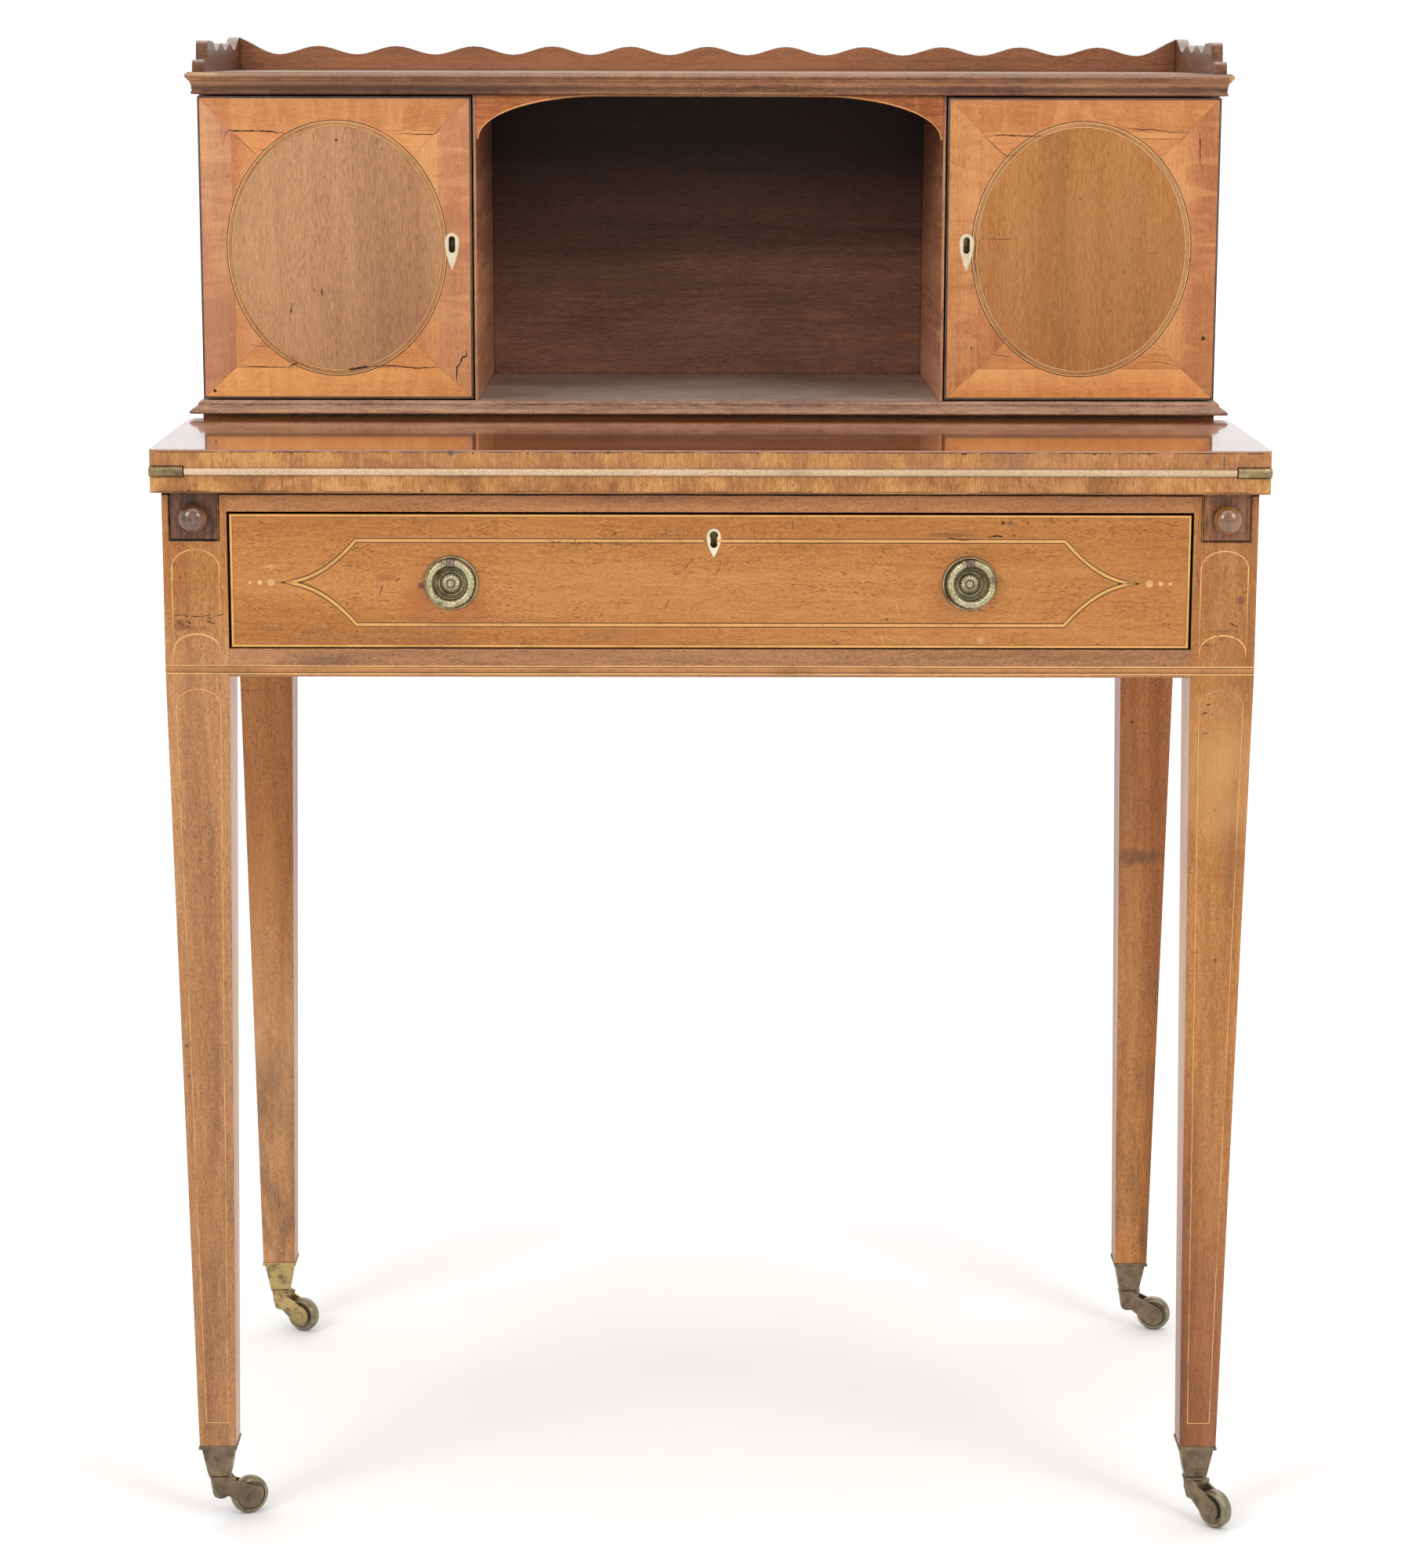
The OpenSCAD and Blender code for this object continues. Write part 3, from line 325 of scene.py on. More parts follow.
def plain_wood(name, mid, grain="X", seed=0.0, rough=0.7, dirt=0.5, pores=0.45):
    return wood(name, mid, (mid[0] * 0.56, mid[1] * 0.46, mid[2] * 0.36), blendc(mid, (0.74, 0.50, 0.27), 0.35), grain, seed, fig=1.0, streak=0.24, kb=1.9, kf=1.2,
                pores=pores, patch=0.45, rough=rough, coat=0.0, wear=0.30, dirt=dirt, scratch=0.35, dents=0.35, bump=0.5, spec=0.3)


def line_wood(name, col, seed=0.0, dirt=0.45, vary=0.35, rough=0.38, coat=0.08):
    """Stringing: a line of pale or dark wood, dirty here and there."""
    t = Tree(name)
    n = t.noise(t.vm("ADD", t.obj, (seed, seed, seed)), 34, 4, 0.62)
    f = t.noise(t.vm("ADD", t.obj, (seed, 0, seed)), 420, 3, 0.6)
    c = t.ramp(n, [(0.3, shade(col, 1 - vary)), (0.5, col), (0.7, shade(col, 1 + 0.22 * vary))])
    c = t.mix(t.rng(f, 0.5, 0.75, 0, 0.35), c, shade(col, 0.55))
    brk = t.noise(t.vm("ADD", t.obj, (seed + 3, 1, 2)), 95, 3, 0.7)
    c = t.mix(t.rng(brk, 0.62, 0.74, 0, dirt), c, (0.10, 0.05, 0.025))
    t.put(t.bsdf.inputs["Base Color"], c)
    t.put(t.bsdf.inputs["Roughness"], t.rng(f, 0.2, 0.8, rough - 0.07, rough + 0.1))
    t.bsdf.inputs["Specular IOR Level"].default_value = 0.22
    t.bsdf.inputs["Coat Weight"].default_value = coat
    t.bsdf.inputs["Coat Roughness"].default_value = 0.13
    t.put(t.bsdf.inputs["Normal"], t.bump(f, 0.2, 0.00008))
    return t.mat


def brass(name, mid=(0.47, 0.37, 0.17), dull=(0.16, 0.115, 0.06), bright=(0.80, 0.68, 0.40), rough=0.33, tarnish=0.55,
          dirt=0.85, seed=0.0, wear=0.7, green=0.12, metal=0.9, scale=1.0, edge_r=0.0004, cre=0.0016, clean=None):
    t = Tree(name)
    v = t.vm("ADD", t.obj, (seed, seed * 0.7, seed * 1.9))
    n = t.noise(v, 120 * scale, 5, 0.62)
    big = t.noise(v, 24 * scale, 3, 0.6)
    fine = t.noise(v, 1500, 3, 0.6)
    c = t.ramp(n, [(0.30, dull), (0.47, blendc(dull, mid, 0.75)), (0.58, mid), (0.78, blendc(mid, bright, 0.5))])
    c = t.mix(t.rng(big, 0.42, 0.70, 0, tarnish), c, dull)
    if green:
        gm = t.noise(v, 75, 4, 0.7)
        c = t.mix(t.rng(gm, 0.58, 0.74, 0, green), c, (0.20, 0.27, 0.15))
    if clean:
        # the part of the piece that was rubbed: (point, radius, colour)
        c = t.mix(t.m("MULTIPLY", t.spot(clean[0], clean[1], 0.3), t.rng(n, 0.36, 0.52, 0.15, 1.0)), c, clean[2])
    e, soft = t.edge(edge_r)
    c = t.mix(t.m("MULTIPLY", e, t.rng(n, 0.35, 0.6, 0.25, wear)), c, bright)
    cr = t.crevice(cre)
    c = t.mix(t.m("MULTIPLY", cr, dirt), c, (0.035, 0.026, 0.016))
    t.put(t.bsdf.inputs["Base Color"], c)
    t.put(t.bsdf.inputs["Metallic"], t.rng(cr, 0, 1, metal, metal * 0.35))
    rg = t.m("ADD", t.rng(n, 0.3, 0.7, rough + 0.16, rough - 0.05), t.m("MULTIPLY", cr, 0.3))
    t.put(t.bsdf.inputs["Roughness"], rg)
    h = t.m("ADD", t.m("MULTIPLY", fine, 0.35), n)
    t.put(t.bsdf.inputs["Normal"], t.bump(h, 0.25, 0.0001, soft))
    return t.mat


# ---------------------------------------------------------------- geometry helpers

class Shape:
    """Collects closed strips, plates and discs of one material that ride on one body."""

    def __init__(self, name, body, mat, slot):
        self.name, self.body, self.mat, self.slot = name, body, mat, slot
        self.v, self.f = [], []

    def prism(self, pts, place, h, depth=0.0003):
        """Closed plate with the 2D outline pts (counter-clockwise as the eye sees it)."""
        k, n = len(self.v), len(pts)
        self.v += [place(a, b, h) for a, b in pts] + [place(a, b, -depth) for a, b in pts]
        self.f.append([k + i for i in range(n)])
        self.f.append([k + n + i for i in range(n - 1, -1, -1)])
        self.f += [[k + i, k + n + i, k + n + (i + 1) % n, k + (i + 1) % n] for i in range(n)]

    def strip(self, pts, width, place, h, depth=0.0003, closed=False):
        """Closed band along pts; width is one number or one for each point."""
        n = len(pts)
        wid = width if hasattr(width, "__len__") else [width] * n
        k = len(self.v)
        rings = []
        for i in range(n):
            p = Vector(pts[i])
            a = Vector(pts[(i - 1) % n]) if (closed or i) else None
            b = Vector(pts[(i + 1) % n]) if (closed or i < n - 1) else None
            da = (p - a).normalized() if a is not None else (b - p).normalized()
            db = (b - p).normalized() if b is not None else da
            na, nb = Vector((-da.y, da.x)), Vector((-db.y, db.x))
            m = na + nb
            m = m.normalized() if m.length > 1e-6 else na
            k2 = min(2.5, 1 / max(0.3, m.dot(na)))
            off = m * (wid[i] / 2) * k2
            rings.append((p + off, p - off))
        for lft, rgt in rings:
            self.v += [place(lft.x, lft.y, h), place(rgt.x, rgt.y, h), place(rgt.x, rgt.y, -depth), place(lft.x, lft.y, -depth)]
        for i in range(n if closed else n - 1):
            a, b = k + 4 * i, k + 4 * ((i + 1) % n)
            self.f += [[a, a + 1, b + 1, b], [a + 1, a + 2, b + 2, b + 1], [a + 2, a + 3, b + 3, b + 2], [a + 3, a, b, b + 3]]
        if not closed:
            a, b = k, k + 4 * (n - 1)
            self.f += [[a + 3, a + 2, a + 1, a], [b, b + 1, b + 2, b + 3]]

    def disc(self, cx, cy, r, place, h, depth=0.0003, n=28, wob=0.0):
        self.prism([(cx + r * (1 + wob * math.sin(5 * a + cx * 900)) * math.cos(a), cy + r * (1 + wob * math.cos(3 * a)) * math.sin(a))
                    for a in (2 * math.pi * i / n for i in range(n))], place, h, depth)

    def make(self):
        me = bpy.data.meshes.new(self.name)
        me.from_pydata([tuple(v) for v in self.v], [], self.f)
        bm = bmesh.new()
        bm.from_mesh(me)
        bmesh.ops.recalc_face_normals(bm, faces=bm.faces)
        bm.to_mesh(me)
        bm.free()
        o = bpy.data.objects.new(self.name, me)
        me.materials.append(self.mat)
        scene.collection.objects.link(o)
        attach(o, self.body)
        return o


def mesh_object(name, verts, faces, mat, body, smooth=True):
    me = bpy.data.meshes.new(name)
    me.from_pydata([tuple(v) for v in verts], [], faces)
    bm = bmesh.new()
    bm.from_mesh(me)
    bmesh.ops.recalc_face_normals(bm, faces=bm.faces)
    bm.to_mesh(me)
    bm.free()
    if smooth:
        me.polygons.foreach_set("use_smooth", [True] * len(me.polygons))
    o = bpy.data.objects.new(name, me)
    me.materials.append(mat)
    scene.collection.objects.link(o)
    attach(o, body)
    return o


def paint(mat, *names):
    for n in names:
        me = CAD[n].data
        me.materials.clear()
        me.materials.append(mat)
        CAD[n].active_material = mat


def front(y):
    """Places (x, z) in millimetres on a plane that faces the sitter, h in metres proud of it."""
    return lambda a, b, h: Vector((a * MM, y * MM - h, b * MM))


def ell(cx, cz, rx, rz, a0=0.0, a1=360.0, n=96, shut=False):
    k = n if shut else n + 1
    return [(cx + rx * math.cos(math.radians(a0 + (a1 - a0) * i / n)), cz + rz * math.sin(math.radians(a0 + (a1 - a0) * i / n))) for i in range(k)]


# ---------------------------------------------------------------- woods and metals

BOX = (0.72, 0.42, 0.15)            # boxwood stringing, yellowed
BOXPALE = (0.76, 0.50, 0.24)
EBONY = (0.034, 0.015, 0.008)
GRIME = (0.05, 0.035, 0.025)

leg_mid, leg_dark, leg_light = (0.435, 0.200, 0.074), (0.230, 0.092, 0.034), (0.55, 0.285, 0.130)
legs = {
    "leg_front_left": wood("leg_wood_fl", (0.482, 0.223, 0.079), (0.250, 0.101, 0.036), (0.605, 0.315, 0.139), "Z", 1.3, fig=1.2, pores=0.75, pore=(420, 2300), patch=0.4, streak=0.17, kb=1.7, kf=0.75, grit=1.35,
                           patch_col=(0.35, 0.155, 0.053), foot=(0.03, 0.30, 0.30), dents=0.6, scratch=0.6, wave=0.0008, height_tint=(0.69, 0.625, (0.96, 0.81, 0.52)),
                           marks=[((-0.3635, -0.221, 0.6575), 0.0045, (0.20, 0.06, 0.022), 0.7), ((-0.3675, -0.221, 0.700), 0.0025, (0.20, 0.07, 0.02), 0.6),
                                  ((-0.353, -0.221, 0.6555), 0.008, (0.14, 0.065, 0.032), 0.35, 0.6, (0.55, 1, 3.8), 1.6)]),
    "leg_front_right": wood("leg_wood_fr", (0.410, 0.155, 0.027), (0.215, 0.078, 0.020), (0.54, 0.255, 0.088), "Z", 4.1, fig=1.0, pores=0.75, pore=(420, 2300), patch=0.45, streak=0.18, kb=2.0, kf=0.75, grit=1.35,
                            patch_col=(0.30, 0.11, 0.035), foot=(0.03, 0.30, 0.35), dents=0.5, scratch=0.6, wave=0.0008, height_tint=(0.10, 0.42, (0.69, 0.57, 0.60)),
                            marks=[((0.3640, -0.221, 0.676), 0.0035, (0.17, 0.05, 0.02), 0.7), ((0.352, -0.221, 0.6545), 0.0065, (0.14, 0.06, 0.03), 0.5, 0.6, (0.5, 1, 3.4), 1.6),
                                   ((0.347, -0.221, 0.692), 0.0025, (0.20, 0.07, 0.02), 0.5),
                                   ((0.354, -0.221, 0.555), 0.032, (0.60, 0.31, 0.110), 0.60, 0.9, (0.8, 1, 0.48), 0.9)]),
    # the rear legs darken towards the top by the tint by height: painted shade under the table
    "leg_rear_left": wood("leg_wood_rl", (0.460, 0.203, 0.066), (0.218, 0.089, 0.030), (0.58, 0.295, 0.125), "Z", 7.7, fig=1.1, pores=0.85, pore=(330, 1900), patch=0.45, streak=0.17, kb=1.9, kf=0.75, grit=1.35,
                          patch_col=(0.24, 0.105, 0.040), foot=(0.03, 0.40, 0.62), dents=0.9, scratch=0.8, wave=0.0008, rough=0.4,
                          height_tint=(0.44, 0.22, (0.73, 0.59, 0.36))),
    "leg_rear_right": wood("leg_wood_rr", (0.402, 0.136, 0.018), (0.205, 0.068, 0.013), (0.56, 0.26, 0.080), "Z", 9.2, fig=1.1, pores=0.85, pore=(330, 1900), patch=0.45, streak=0.17, kb=2.0, kf=0.75, grit=1.35,
                           patch_col=(0.25, 0.100, 0.034), foot=(0.03, 0.40, 0.6), height_tint=(0.60, 0.10, (0.72, 0.59, 0.55)), dents=0.9, scratch=0.8, wave=0.0008, rough=0.4,
                           marks=[((0.350, 0.19, 0.404), 0.016, (0.075, 0.032, 0.016), 0.60, 0.8, (0.7, 0.3, 1.7), 2.2)]),
}
for n, m_ in legs.items():
    paint(m_, n)

paint(wood("top_rail_wood", (0.430, 0.176, 0.056), (0.21, 0.074, 0.024), (0.54, 0.245, 0.095), "X", 2.2, fig=1.2, pores=0.7, streak=0.17, kf=0.8, grit=1.3,
           wave=0.0006), "front_top_rail")
paint(wood("bottom_rail_wood", (0.385, 0.172, 0.066), (0.19, 0.078, 0.028), (0.50, 0.245, 0.11), "X", 5.4, fig=1.3, pores=0.8, streak=0.18, kf=0.85, grit=1.3,
           patch=0.4, wave=0.0006, scratch=0.6,
           marks=[((-0.262, -0.221, 0.6325), 0.012, (0.10, 0.05, 0.03), 0.5, 0.6, (0.35, 1, 2.2), 1.5)]), "front_bottom_rail")
paint(wood("side_rail_wood", (0.385, 0.170, 0.056), leg_dark, leg_light, "Y", 6.1, fig=1.0, pores=0.6, patch=0.4,
           wave=0.0009), "side_rails")
paint(plain_wood("back_rail_wood", (0.385, 0.195, 0.082), "X", 3.3), "back_rail")
paint(plain_wood("runner_wood", (0.43, 0.255, 0.118), "Y", 8.1), "drawer_runners", "loper_guides")
paint(wood("plinth_wood", (0.265, 0.100, 0.038), (0.090, 0.030, 0.012), (0.38, 0.165, 0.070), "X", 2.6, fig=1.0, streak=0.24, pores=0.5, patch=0.5, rough=0.45, coat=0.1, dirt=0.9), "cabinet_plinth")

edge_mid, edge_dark, edge_light = (0.425, 0.172, 0.042), (0.195, 0.070, 0.018), (0.60, 0.300, 0.100)
paint(wood("bed_wood", edge_mid, edge_dark, edge_light, "X", 3.9, fig=1.5, streak=0.16, kb=2.6, kf=0.7, pores=0.7, pore=(330, 1900), patch=0.5, long=2.0,
           patch_col=(0.25, 0.095, 0.024), band="XY", wave=0.0005, dents=0.7, edge_r=0.0010, wear=0.25, dirt=1.0, arris=(0.66, 0.50), rough=0.32, coat=0.25), "table_top")
paint(wood("leaf_wood", (0.276, 0.071, 0.0105), (0.136, 0.029, 0.0048), (0.378, 0.124, 0.022), "X", 12.4, fig=0.8, streak=0.18, kb=1.9, kf=0.8, pores=0.6, long=1.6,
           patch=0.45, patch_col=(0.200, 0.064, 0.018), band="XY", band_tint=(1.52, 2.22, 2.75), wave=0.0012,
           dents=0.6, edge_r=0.0010, wear=0.35, dirt=1.0, arris=(0.64, 0.48), rough=0.125, coat=0.86, coat_rough=0.055, scratch=0.30, bump=0.12, spec=0.5,
           marks=[((-0.176, -0.232, 0.7775), 0.0026, (0.03, 0.015, 0.01), 0.9, 0.5, (1, 1, 1), 0.5),
                  ((-0.070, -0.232, 0.7785), 0.0024, (0.03, 0.015, 0.01), 0.9, 0.5, (1, 1, 1), 0.5),
                  ((0.128, -0.232, 0.7770), 0.0018, (0.04, 0.02, 0.01), 0.8, 0.5, (1, 1, 1), 0.5),
                  ((0.348, -0.234, 0.7715), 0.0022, (0.03, 0.015, 0.01), 0.9, 0.4, (2.6, 1, 0.25), 0.5),
                  ((0.060, -0.150, 0.7796), 0.030, (0.50, 0.34, 0.25), 0.26, 0.9, (0.35, 3.2, 1), 2.4),
                  ((-0.035, -0.185, 0.7796), 0.012, (0.54, 0.38, 0.29), 0.34, 0.9, (0.25, 3.0, 1), 2.4)]), "fold_leaf")
cab = dict(mid=(0.260, 0.092, 0.034), dark=(0.075, 0.024, 0.010), light=(0.43, 0.185, 0.080))
# cornice: the long crevice reach, the tint by height low on the moulding and the dark band at z 1.018 are painted shade
# in its hollows and under its beads; the pale line at z 1.0274 along the top edge is part painted highlight, part dust
paint(wood("cornice_wood", (0.292, 0.110, 0.049), cab["dark"], (0.46, 0.215, 0.107), "X", 1.7, fig=1.8, kb=2.4, pores=0.6, patch=0.6, patch_col=(0.085, 0.035, 0.020), wear=0.65,
           wear_col=(0.50, 0.26, 0.12), dirt=1.0, edge_r=0.0010, coat=0.12, rough=0.42, dents=0.5, spec=0.28, cre=0.011, height_tint=(1.0135, 1.0165, (0.62, 0.55, 0.52)),
           dust=(0.60, (0.36, 0.30, 0.26)),
           marks=[((-0.250, -0.02, 1.0190), 0.150, (0.090, 0.030, 0.014), 0.80, 0.8, (0.7, 0.6, 1), 0.6),
                  ((0.0, 0.0, 1.0180), 0.0027, (0.050, 0.022, 0.013), 0.72, 0.8, (0, 0, 1), 0.5),
                  ((0.0, 0.0, 1.0232), 0.0034, (0.46, 0.245, 0.125), 0.42, 0.6, (0, 0, 1), 0.5),
                  ((0.0, 0.0, 1.0274), 0.0016, (0.42, 0.26, 0.165), 0.50, 0.8, (0, 0, 1), 1.4),
                  ((0.3795, -0.0105, 1.0255), 0.0045, (0.54, 0.36, 0.13), 0.8, 0.4, (1, 1, 1.4), 0.6),
                  ((-0.366, -0.0105, 1.0278), 0.0130, (0.52, 0.335, 0.145), 0.60, 0.6, (0.9, 1, 6.5), 0.6)]), "cornice")
paint(wood("base_moulding_wood", (0.285, 0.128, 0.061), cab["dark"], (0.42, 0.235, 0.13), "X", 4.7, fig=1.4, pores=0.5, pore=(180, 2100), patch=0.5,
           wear=0.6, wear_col=(0.52, 0.33, 0.21), dirt=0.95, edge_r=0.0009, coat=0.3, rough=0.36, dents=0.6,
           dust=(0.30, (0.40, 0.345, 0.30))), "base_moulding")
paint(wood("cabinet_top_wood", cab["mid"], cab["dark"], cab["light"], "X", 8.8, fig=0.9, pores=0.5, patch=0.4, rough=0.42, coat=0.15,
           dust=(0.66, (0.36, 0.315, 0.285))), "cabinet_top")
paint(wood("cabinet_side_wood", (0.325, 0.130, 0.048), cab["dark"], (0.42, 0.19, 0.085), "Y", 2.9, fig=0.8, pores=0.6, patch=0.4, wave=0.001, streak=0.2, kb=1.3, kf=1.2), "cabinet_sides")
# the partitions darken towards the top by the tint by height: painted shade inside the niche
paint(wood("partition_wood", (0.665, 0.295, 0.160), (0.33, 0.138, 0.073), (0.78, 0.41, 0.235), "Y", 6.6, fig=1.1, pores=0.5,
           patch=0.5, rough=0.45, coat=0.1, dirt=0.8, height_tint=(1.00, 0.86, (0.50, 0.45, 0.42))), "partitions")
paint(wood("niche_floor_wood", (0.165, 0.078, 0.045), (0.07, 0.032, 0.02), (0.24, 0.125, 0.075), "X", 9.9, fig=1.0, pores=0.4, patch=0.4,
           rough=0.40, coat=0.15, dirt=0.6, dust=(0.90, (0.62, 0.50, 0.435))), "cabinet_bottom")
# the niche's back darkens to near black towards the top, on its inner face only: painted shade inside the niche
paint(wood("niche_back_wood", (0.272, 0.119, 0.073), (0.112, 0.046, 0.031), (0.40, 0.184, 0.110), "X", 11.3, fig=0.8, streak=0.20, kf=1.0, grit=0.9, pores=0.6,
           pore=(140, 1200), patch=0.55, patch_col=(0.10, 0.045, 0.028), rough=0.5, coat=0.05, scratch=0.15, dirt=0.85, spec=0.25,
           height_tint=(0.985, 0.855, (0.074, 0.068, 0.076)), fade_in=True,
           marks=[((0.10, 0.226, 0.838), 0.012, (0.44, 0.17, 0.06), 0.45, 0.7, (0.4, 1, 3), 1.6),
                  ((0.17, 0.226, 0.822), 0.010, (0.46, 0.18, 0.06), 0.45, 0.7, (0.3, 1, 4), 1.8),
                  ((-0.13, 0.226, 0.834), 0.008, (0.40, 0.15, 0.055), 0.40, 0.7, (0.4, 1, 3), 1.8),
                  ((-0.06, 0.226, 0.93), 0.009, (0.28, 0.13, 0.06), 0.35, 0.7, (0.4, 1, 3), 1.6)]), "cabinet_back")
gal = dict(mid=(0.225, 0.076, 0.028), dark=(0.080, 0.026, 0.011), light=(0.34, 0.140, 0.060))
paint(wood("gallery_wood", gal["mid"], (0.120, 0.040, 0.016), gal["light"], "X", 3.1, fig=1.3, kf=0.8, grit=0.8, streak=0.2, pores=0.5, patch=0.4, wear=0.45, dirt=0.8, rough=0.42, coat=0.15,
           dust=(0.75, (0.46, 0.42, 0.385))), "gallery_back")
paint(wood("gallery_side_wood", shade(gal["mid"], 0.60), gal["dark"], shade(gal["light"], 0.68), "Y", 5.1, fig=1.3, pores=0.5, patch=0.4, wear=0.45, dirt=0.8, rough=0.42,
           coat=0.15, dust=(0.75, (0.48, 0.44, 0.40))), "gallery_left", "gallery_right")

sat_mid, sat_dark, sat_light = (0.500, 0.200, 0.074), (0.31, 0.105, 0.036), (0.60, 0.285, 0.115)
paint(wood("apron_wood", (0.370, 0.100, 0.019), (0.20, 0.050, 0.011), (0.49, 0.175, 0.045), "X", 2.4, fig=1.2, pores=0.3, ripple=0.4, patch=0.3,
           wear=0.6, wear_col=(0.66, 0.36, 0.16), dirt=0.8), "arch_apron")
paint(wood("door_core_wood", (0.36, 0.17, 0.085), (0.15, 0.06, 0.03), (0.45, 0.24, 0.13), "Z", 5.9, fig=1.0, pores=0.5, patch=0.4, rough=0.42,
           coat=0.2, dirt=0.8), "door_left", "door_right")
drawer_face = wood("drawer_face_wood", (0.440, 0.160, 0.028), (0.25, 0.082, 0.016), (0.540, 0.232, 0.062), "X", 4.4, fig=0.75, streak=0.16,
                   pores=0.90, pore=(330, 2200), patch=0.30, patch_col=(0.40, 0.138, 0.030), rough=0.34, coat=0.20, coat_rough=0.12, wave=0.0007,
                   scratch=0.45, dents=0.45, dirt=0.85, edge_r=0.0008, kb=1.15, kf=0.8, grit=1.25,
                   marks=[((-0.1980, -0.221, 0.6852), 0.0026, (0.045, 0.034, 0.028), 0.90, 0.5, (0.8, 1, 1), 0.9),
                          ((-0.200, -0.221, 0.672), 0.017, (0.36, 0.095, 0.022), 0.65, 0.9, (1, 1, 0.7), 1.0),
                          ((-0.160, -0.221, 0.668), 0.015, (0.36, 0.095, 0.022), 0.55, 0.9, (0.8, 1, 1), 1.0),
                          ((0.158, -0.221, 0.672), 0.018, (0.34, 0.115, 0.03), 0.45, 0.9, (1, 1, 0.7), 1.0),
                          ((-0.222, -0.221, 0.6905), 0.010, (0.30, 0.085, 0.025), 0.7, 0.6, (1.2, 1, 3), 1.3),
                          ((-0.302, -0.221, 0.6985), 0.0035, (0.64, 0.42, 0.16), 0.5, 0.8, (0.6, 1, 2), 1.2),
                          ((0.165, -0.221, 0.7205), 0.007, (0.12, 0.05, 0.022), 0.55, 0.6, (0.32, 1, 3.4), 1.8),
                          ((0.205, -0.221, 0.7290), 0.0022, (0.10, 0.06, 0.03), 0.7, 0.5, (1, 1, 1), 1.0),
                          ((0.186, -0.221, 0.6480), 0.0035, (0.62, 0.42, 0.24), 0.4, 0.7, (1, 1, 1), 1.0),
                          ((-0.060, -0.221, 0.6520), 0.012, (0.20, 0.085, 0.035), 0.22, 0.8, (0.3, 1, 3), 1.6)])
paint(drawer_face, "drawer_front")
paint(plain_wood("drawer_side_wood", (0.46, 0.275, 0.125), "Y", 7.3, pores=0.55), "drawer_box")
paint(plain_wood("drawer_bottom_wood", (0.45, 0.275, 0.130), "X", 4.9, pores=0.4), "drawer_bottom")
# the left loper has darker colours than the right, a shaded copy of the same wood: painted shade, as it sits further
# in; the wide crevice reach paints shade round each face, and the lighter spot at each knob's tip is a painted
# highlight
loper_dark = dict(mid=(0.155, 0.060, 0.028), dark=(0.044, 0.018, 0.010), light=(0.23, 0.100, 0.050))
paint(wood("loper_wood_left", loper_dark["mid"], loper_dark["dark"], loper_dark["light"], "Z", 2.0, fig=2.0, pores=0.5, pore=(300, 2000), patch=0.4,
           rough=0.30, coat=0.25, coat_rough=0.10, wear=0.45, dirt=1.0, cre=0.009, spec=0.3, bump=0.15,
           marks=[((-0.3526, -0.236, 0.734), 0.0075, (0.32, 0.14, 0.07), 0.6, 0.8, (1, 1, 1), 0.7)]), "loper_left")
paint(wood("loper_wood_right", (0.240, 0.092, 0.035), loper_dark["dark"], (0.36, 0.160, 0.070), "Z", 8.0, fig=2.0, pores=0.5, pore=(300, 2000), patch=0.5,
           rough=0.30, coat=0.25, coat_rough=0.10, wear=0.50, dirt=1.0, cre=0.009, spec=0.3, bump=0.15,
           marks=[((0.3526, -0.236, 0.733), 0.0085, (0.34, 0.20, 0.125), 0.6, 0.8, (1, 1, 1), 0.9)]), "loper_right")

cup_brass = brass("cup_brass", mid=(0.25, 0.185, 0.115), dull=(0.110, 0.082, 0.058), bright=(0.52, 0.40, 0.22), rough=0.42, tarnish=0.75, dirt=0.9, seed=1.0, clean=((-0.3525, 0.21, 0.068), 0.075, (0.50, 0.365, 0.150)))
wheel_brass = brass("wheel_brass", mid=(0.31, 0.265, 0.165), dull=(0.125, 0.102, 0.070), bright=(0.66, 0.60, 0.42), rough=0.34, tarnish=0.5, seed=2.0, wear=0.9)
hinge_brass = brass("hinge_brass", mid=(0.36, 0.262, 0.125), dull=(0.115, 0.082, 0.045), bright=(0.80, 0.68, 0.36), rough=0.34, seed=3.0, tarnish=0.7, green=0.0)
ring_brass = brass("ring_brass", mid=(0.56, 0.50, 0.30), dull=(0.19, 0.155, 0.085), bright=(0.97, 0.93, 0.72), rough=0.26, tarnish=0.40, seed=4.0, green=0.15, dirt=1.0, cre=0.0017)
plate_brass = brass("plate_brass", mid=(0.46, 0.40, 0.225), dull=(0.12, 0.092, 0.048), bright=(0.95, 0.90, 0.68), rough=0.28, tarnish=0.45, seed=5.0, green=0.12, dirt=1.0, cre=0.0019)
post_mat = brass("post_brass", mid=(0.26, 0.17, 0.125), dull=(0.085, 0.052, 0.040), bright=(0.62, 0.50, 0.42), rough=0.42, tarnish=0.7, scale=4.0, seed=7.0, metal=0.5, edge_r=0.0003, cre=0.0008)
lock_brass = brass("lock_brass", mid=(0.50, 0.37, 0.15), dull=(0.20, 0.14, 0.06), rough=0.38, seed=6.0)
paint(cup_brass, "castor_cups", "fork_front_left", "fork_front_right", "fork_rear_left", "fork_rear_right")
paint(wheel_brass, "wheel_front_left", "wheel_front_right", "wheel_rear_left", "wheel_rear_right")
paint(hinge_brass, "leaf_hinges_fixed", "leaf_hinges_moving", "door_pivot_plates", "door_left_sockets", "door_right_sockets")
paint(plate_brass, "handle_plates")
paint(ring_brass, "ring_left", "ring_right")
paint(lock_brass, "drawer_lock", "drawer_lock_bolt", "door_left_lock", "door_right_lock", "door_left_bolt", "door_right_bolt")


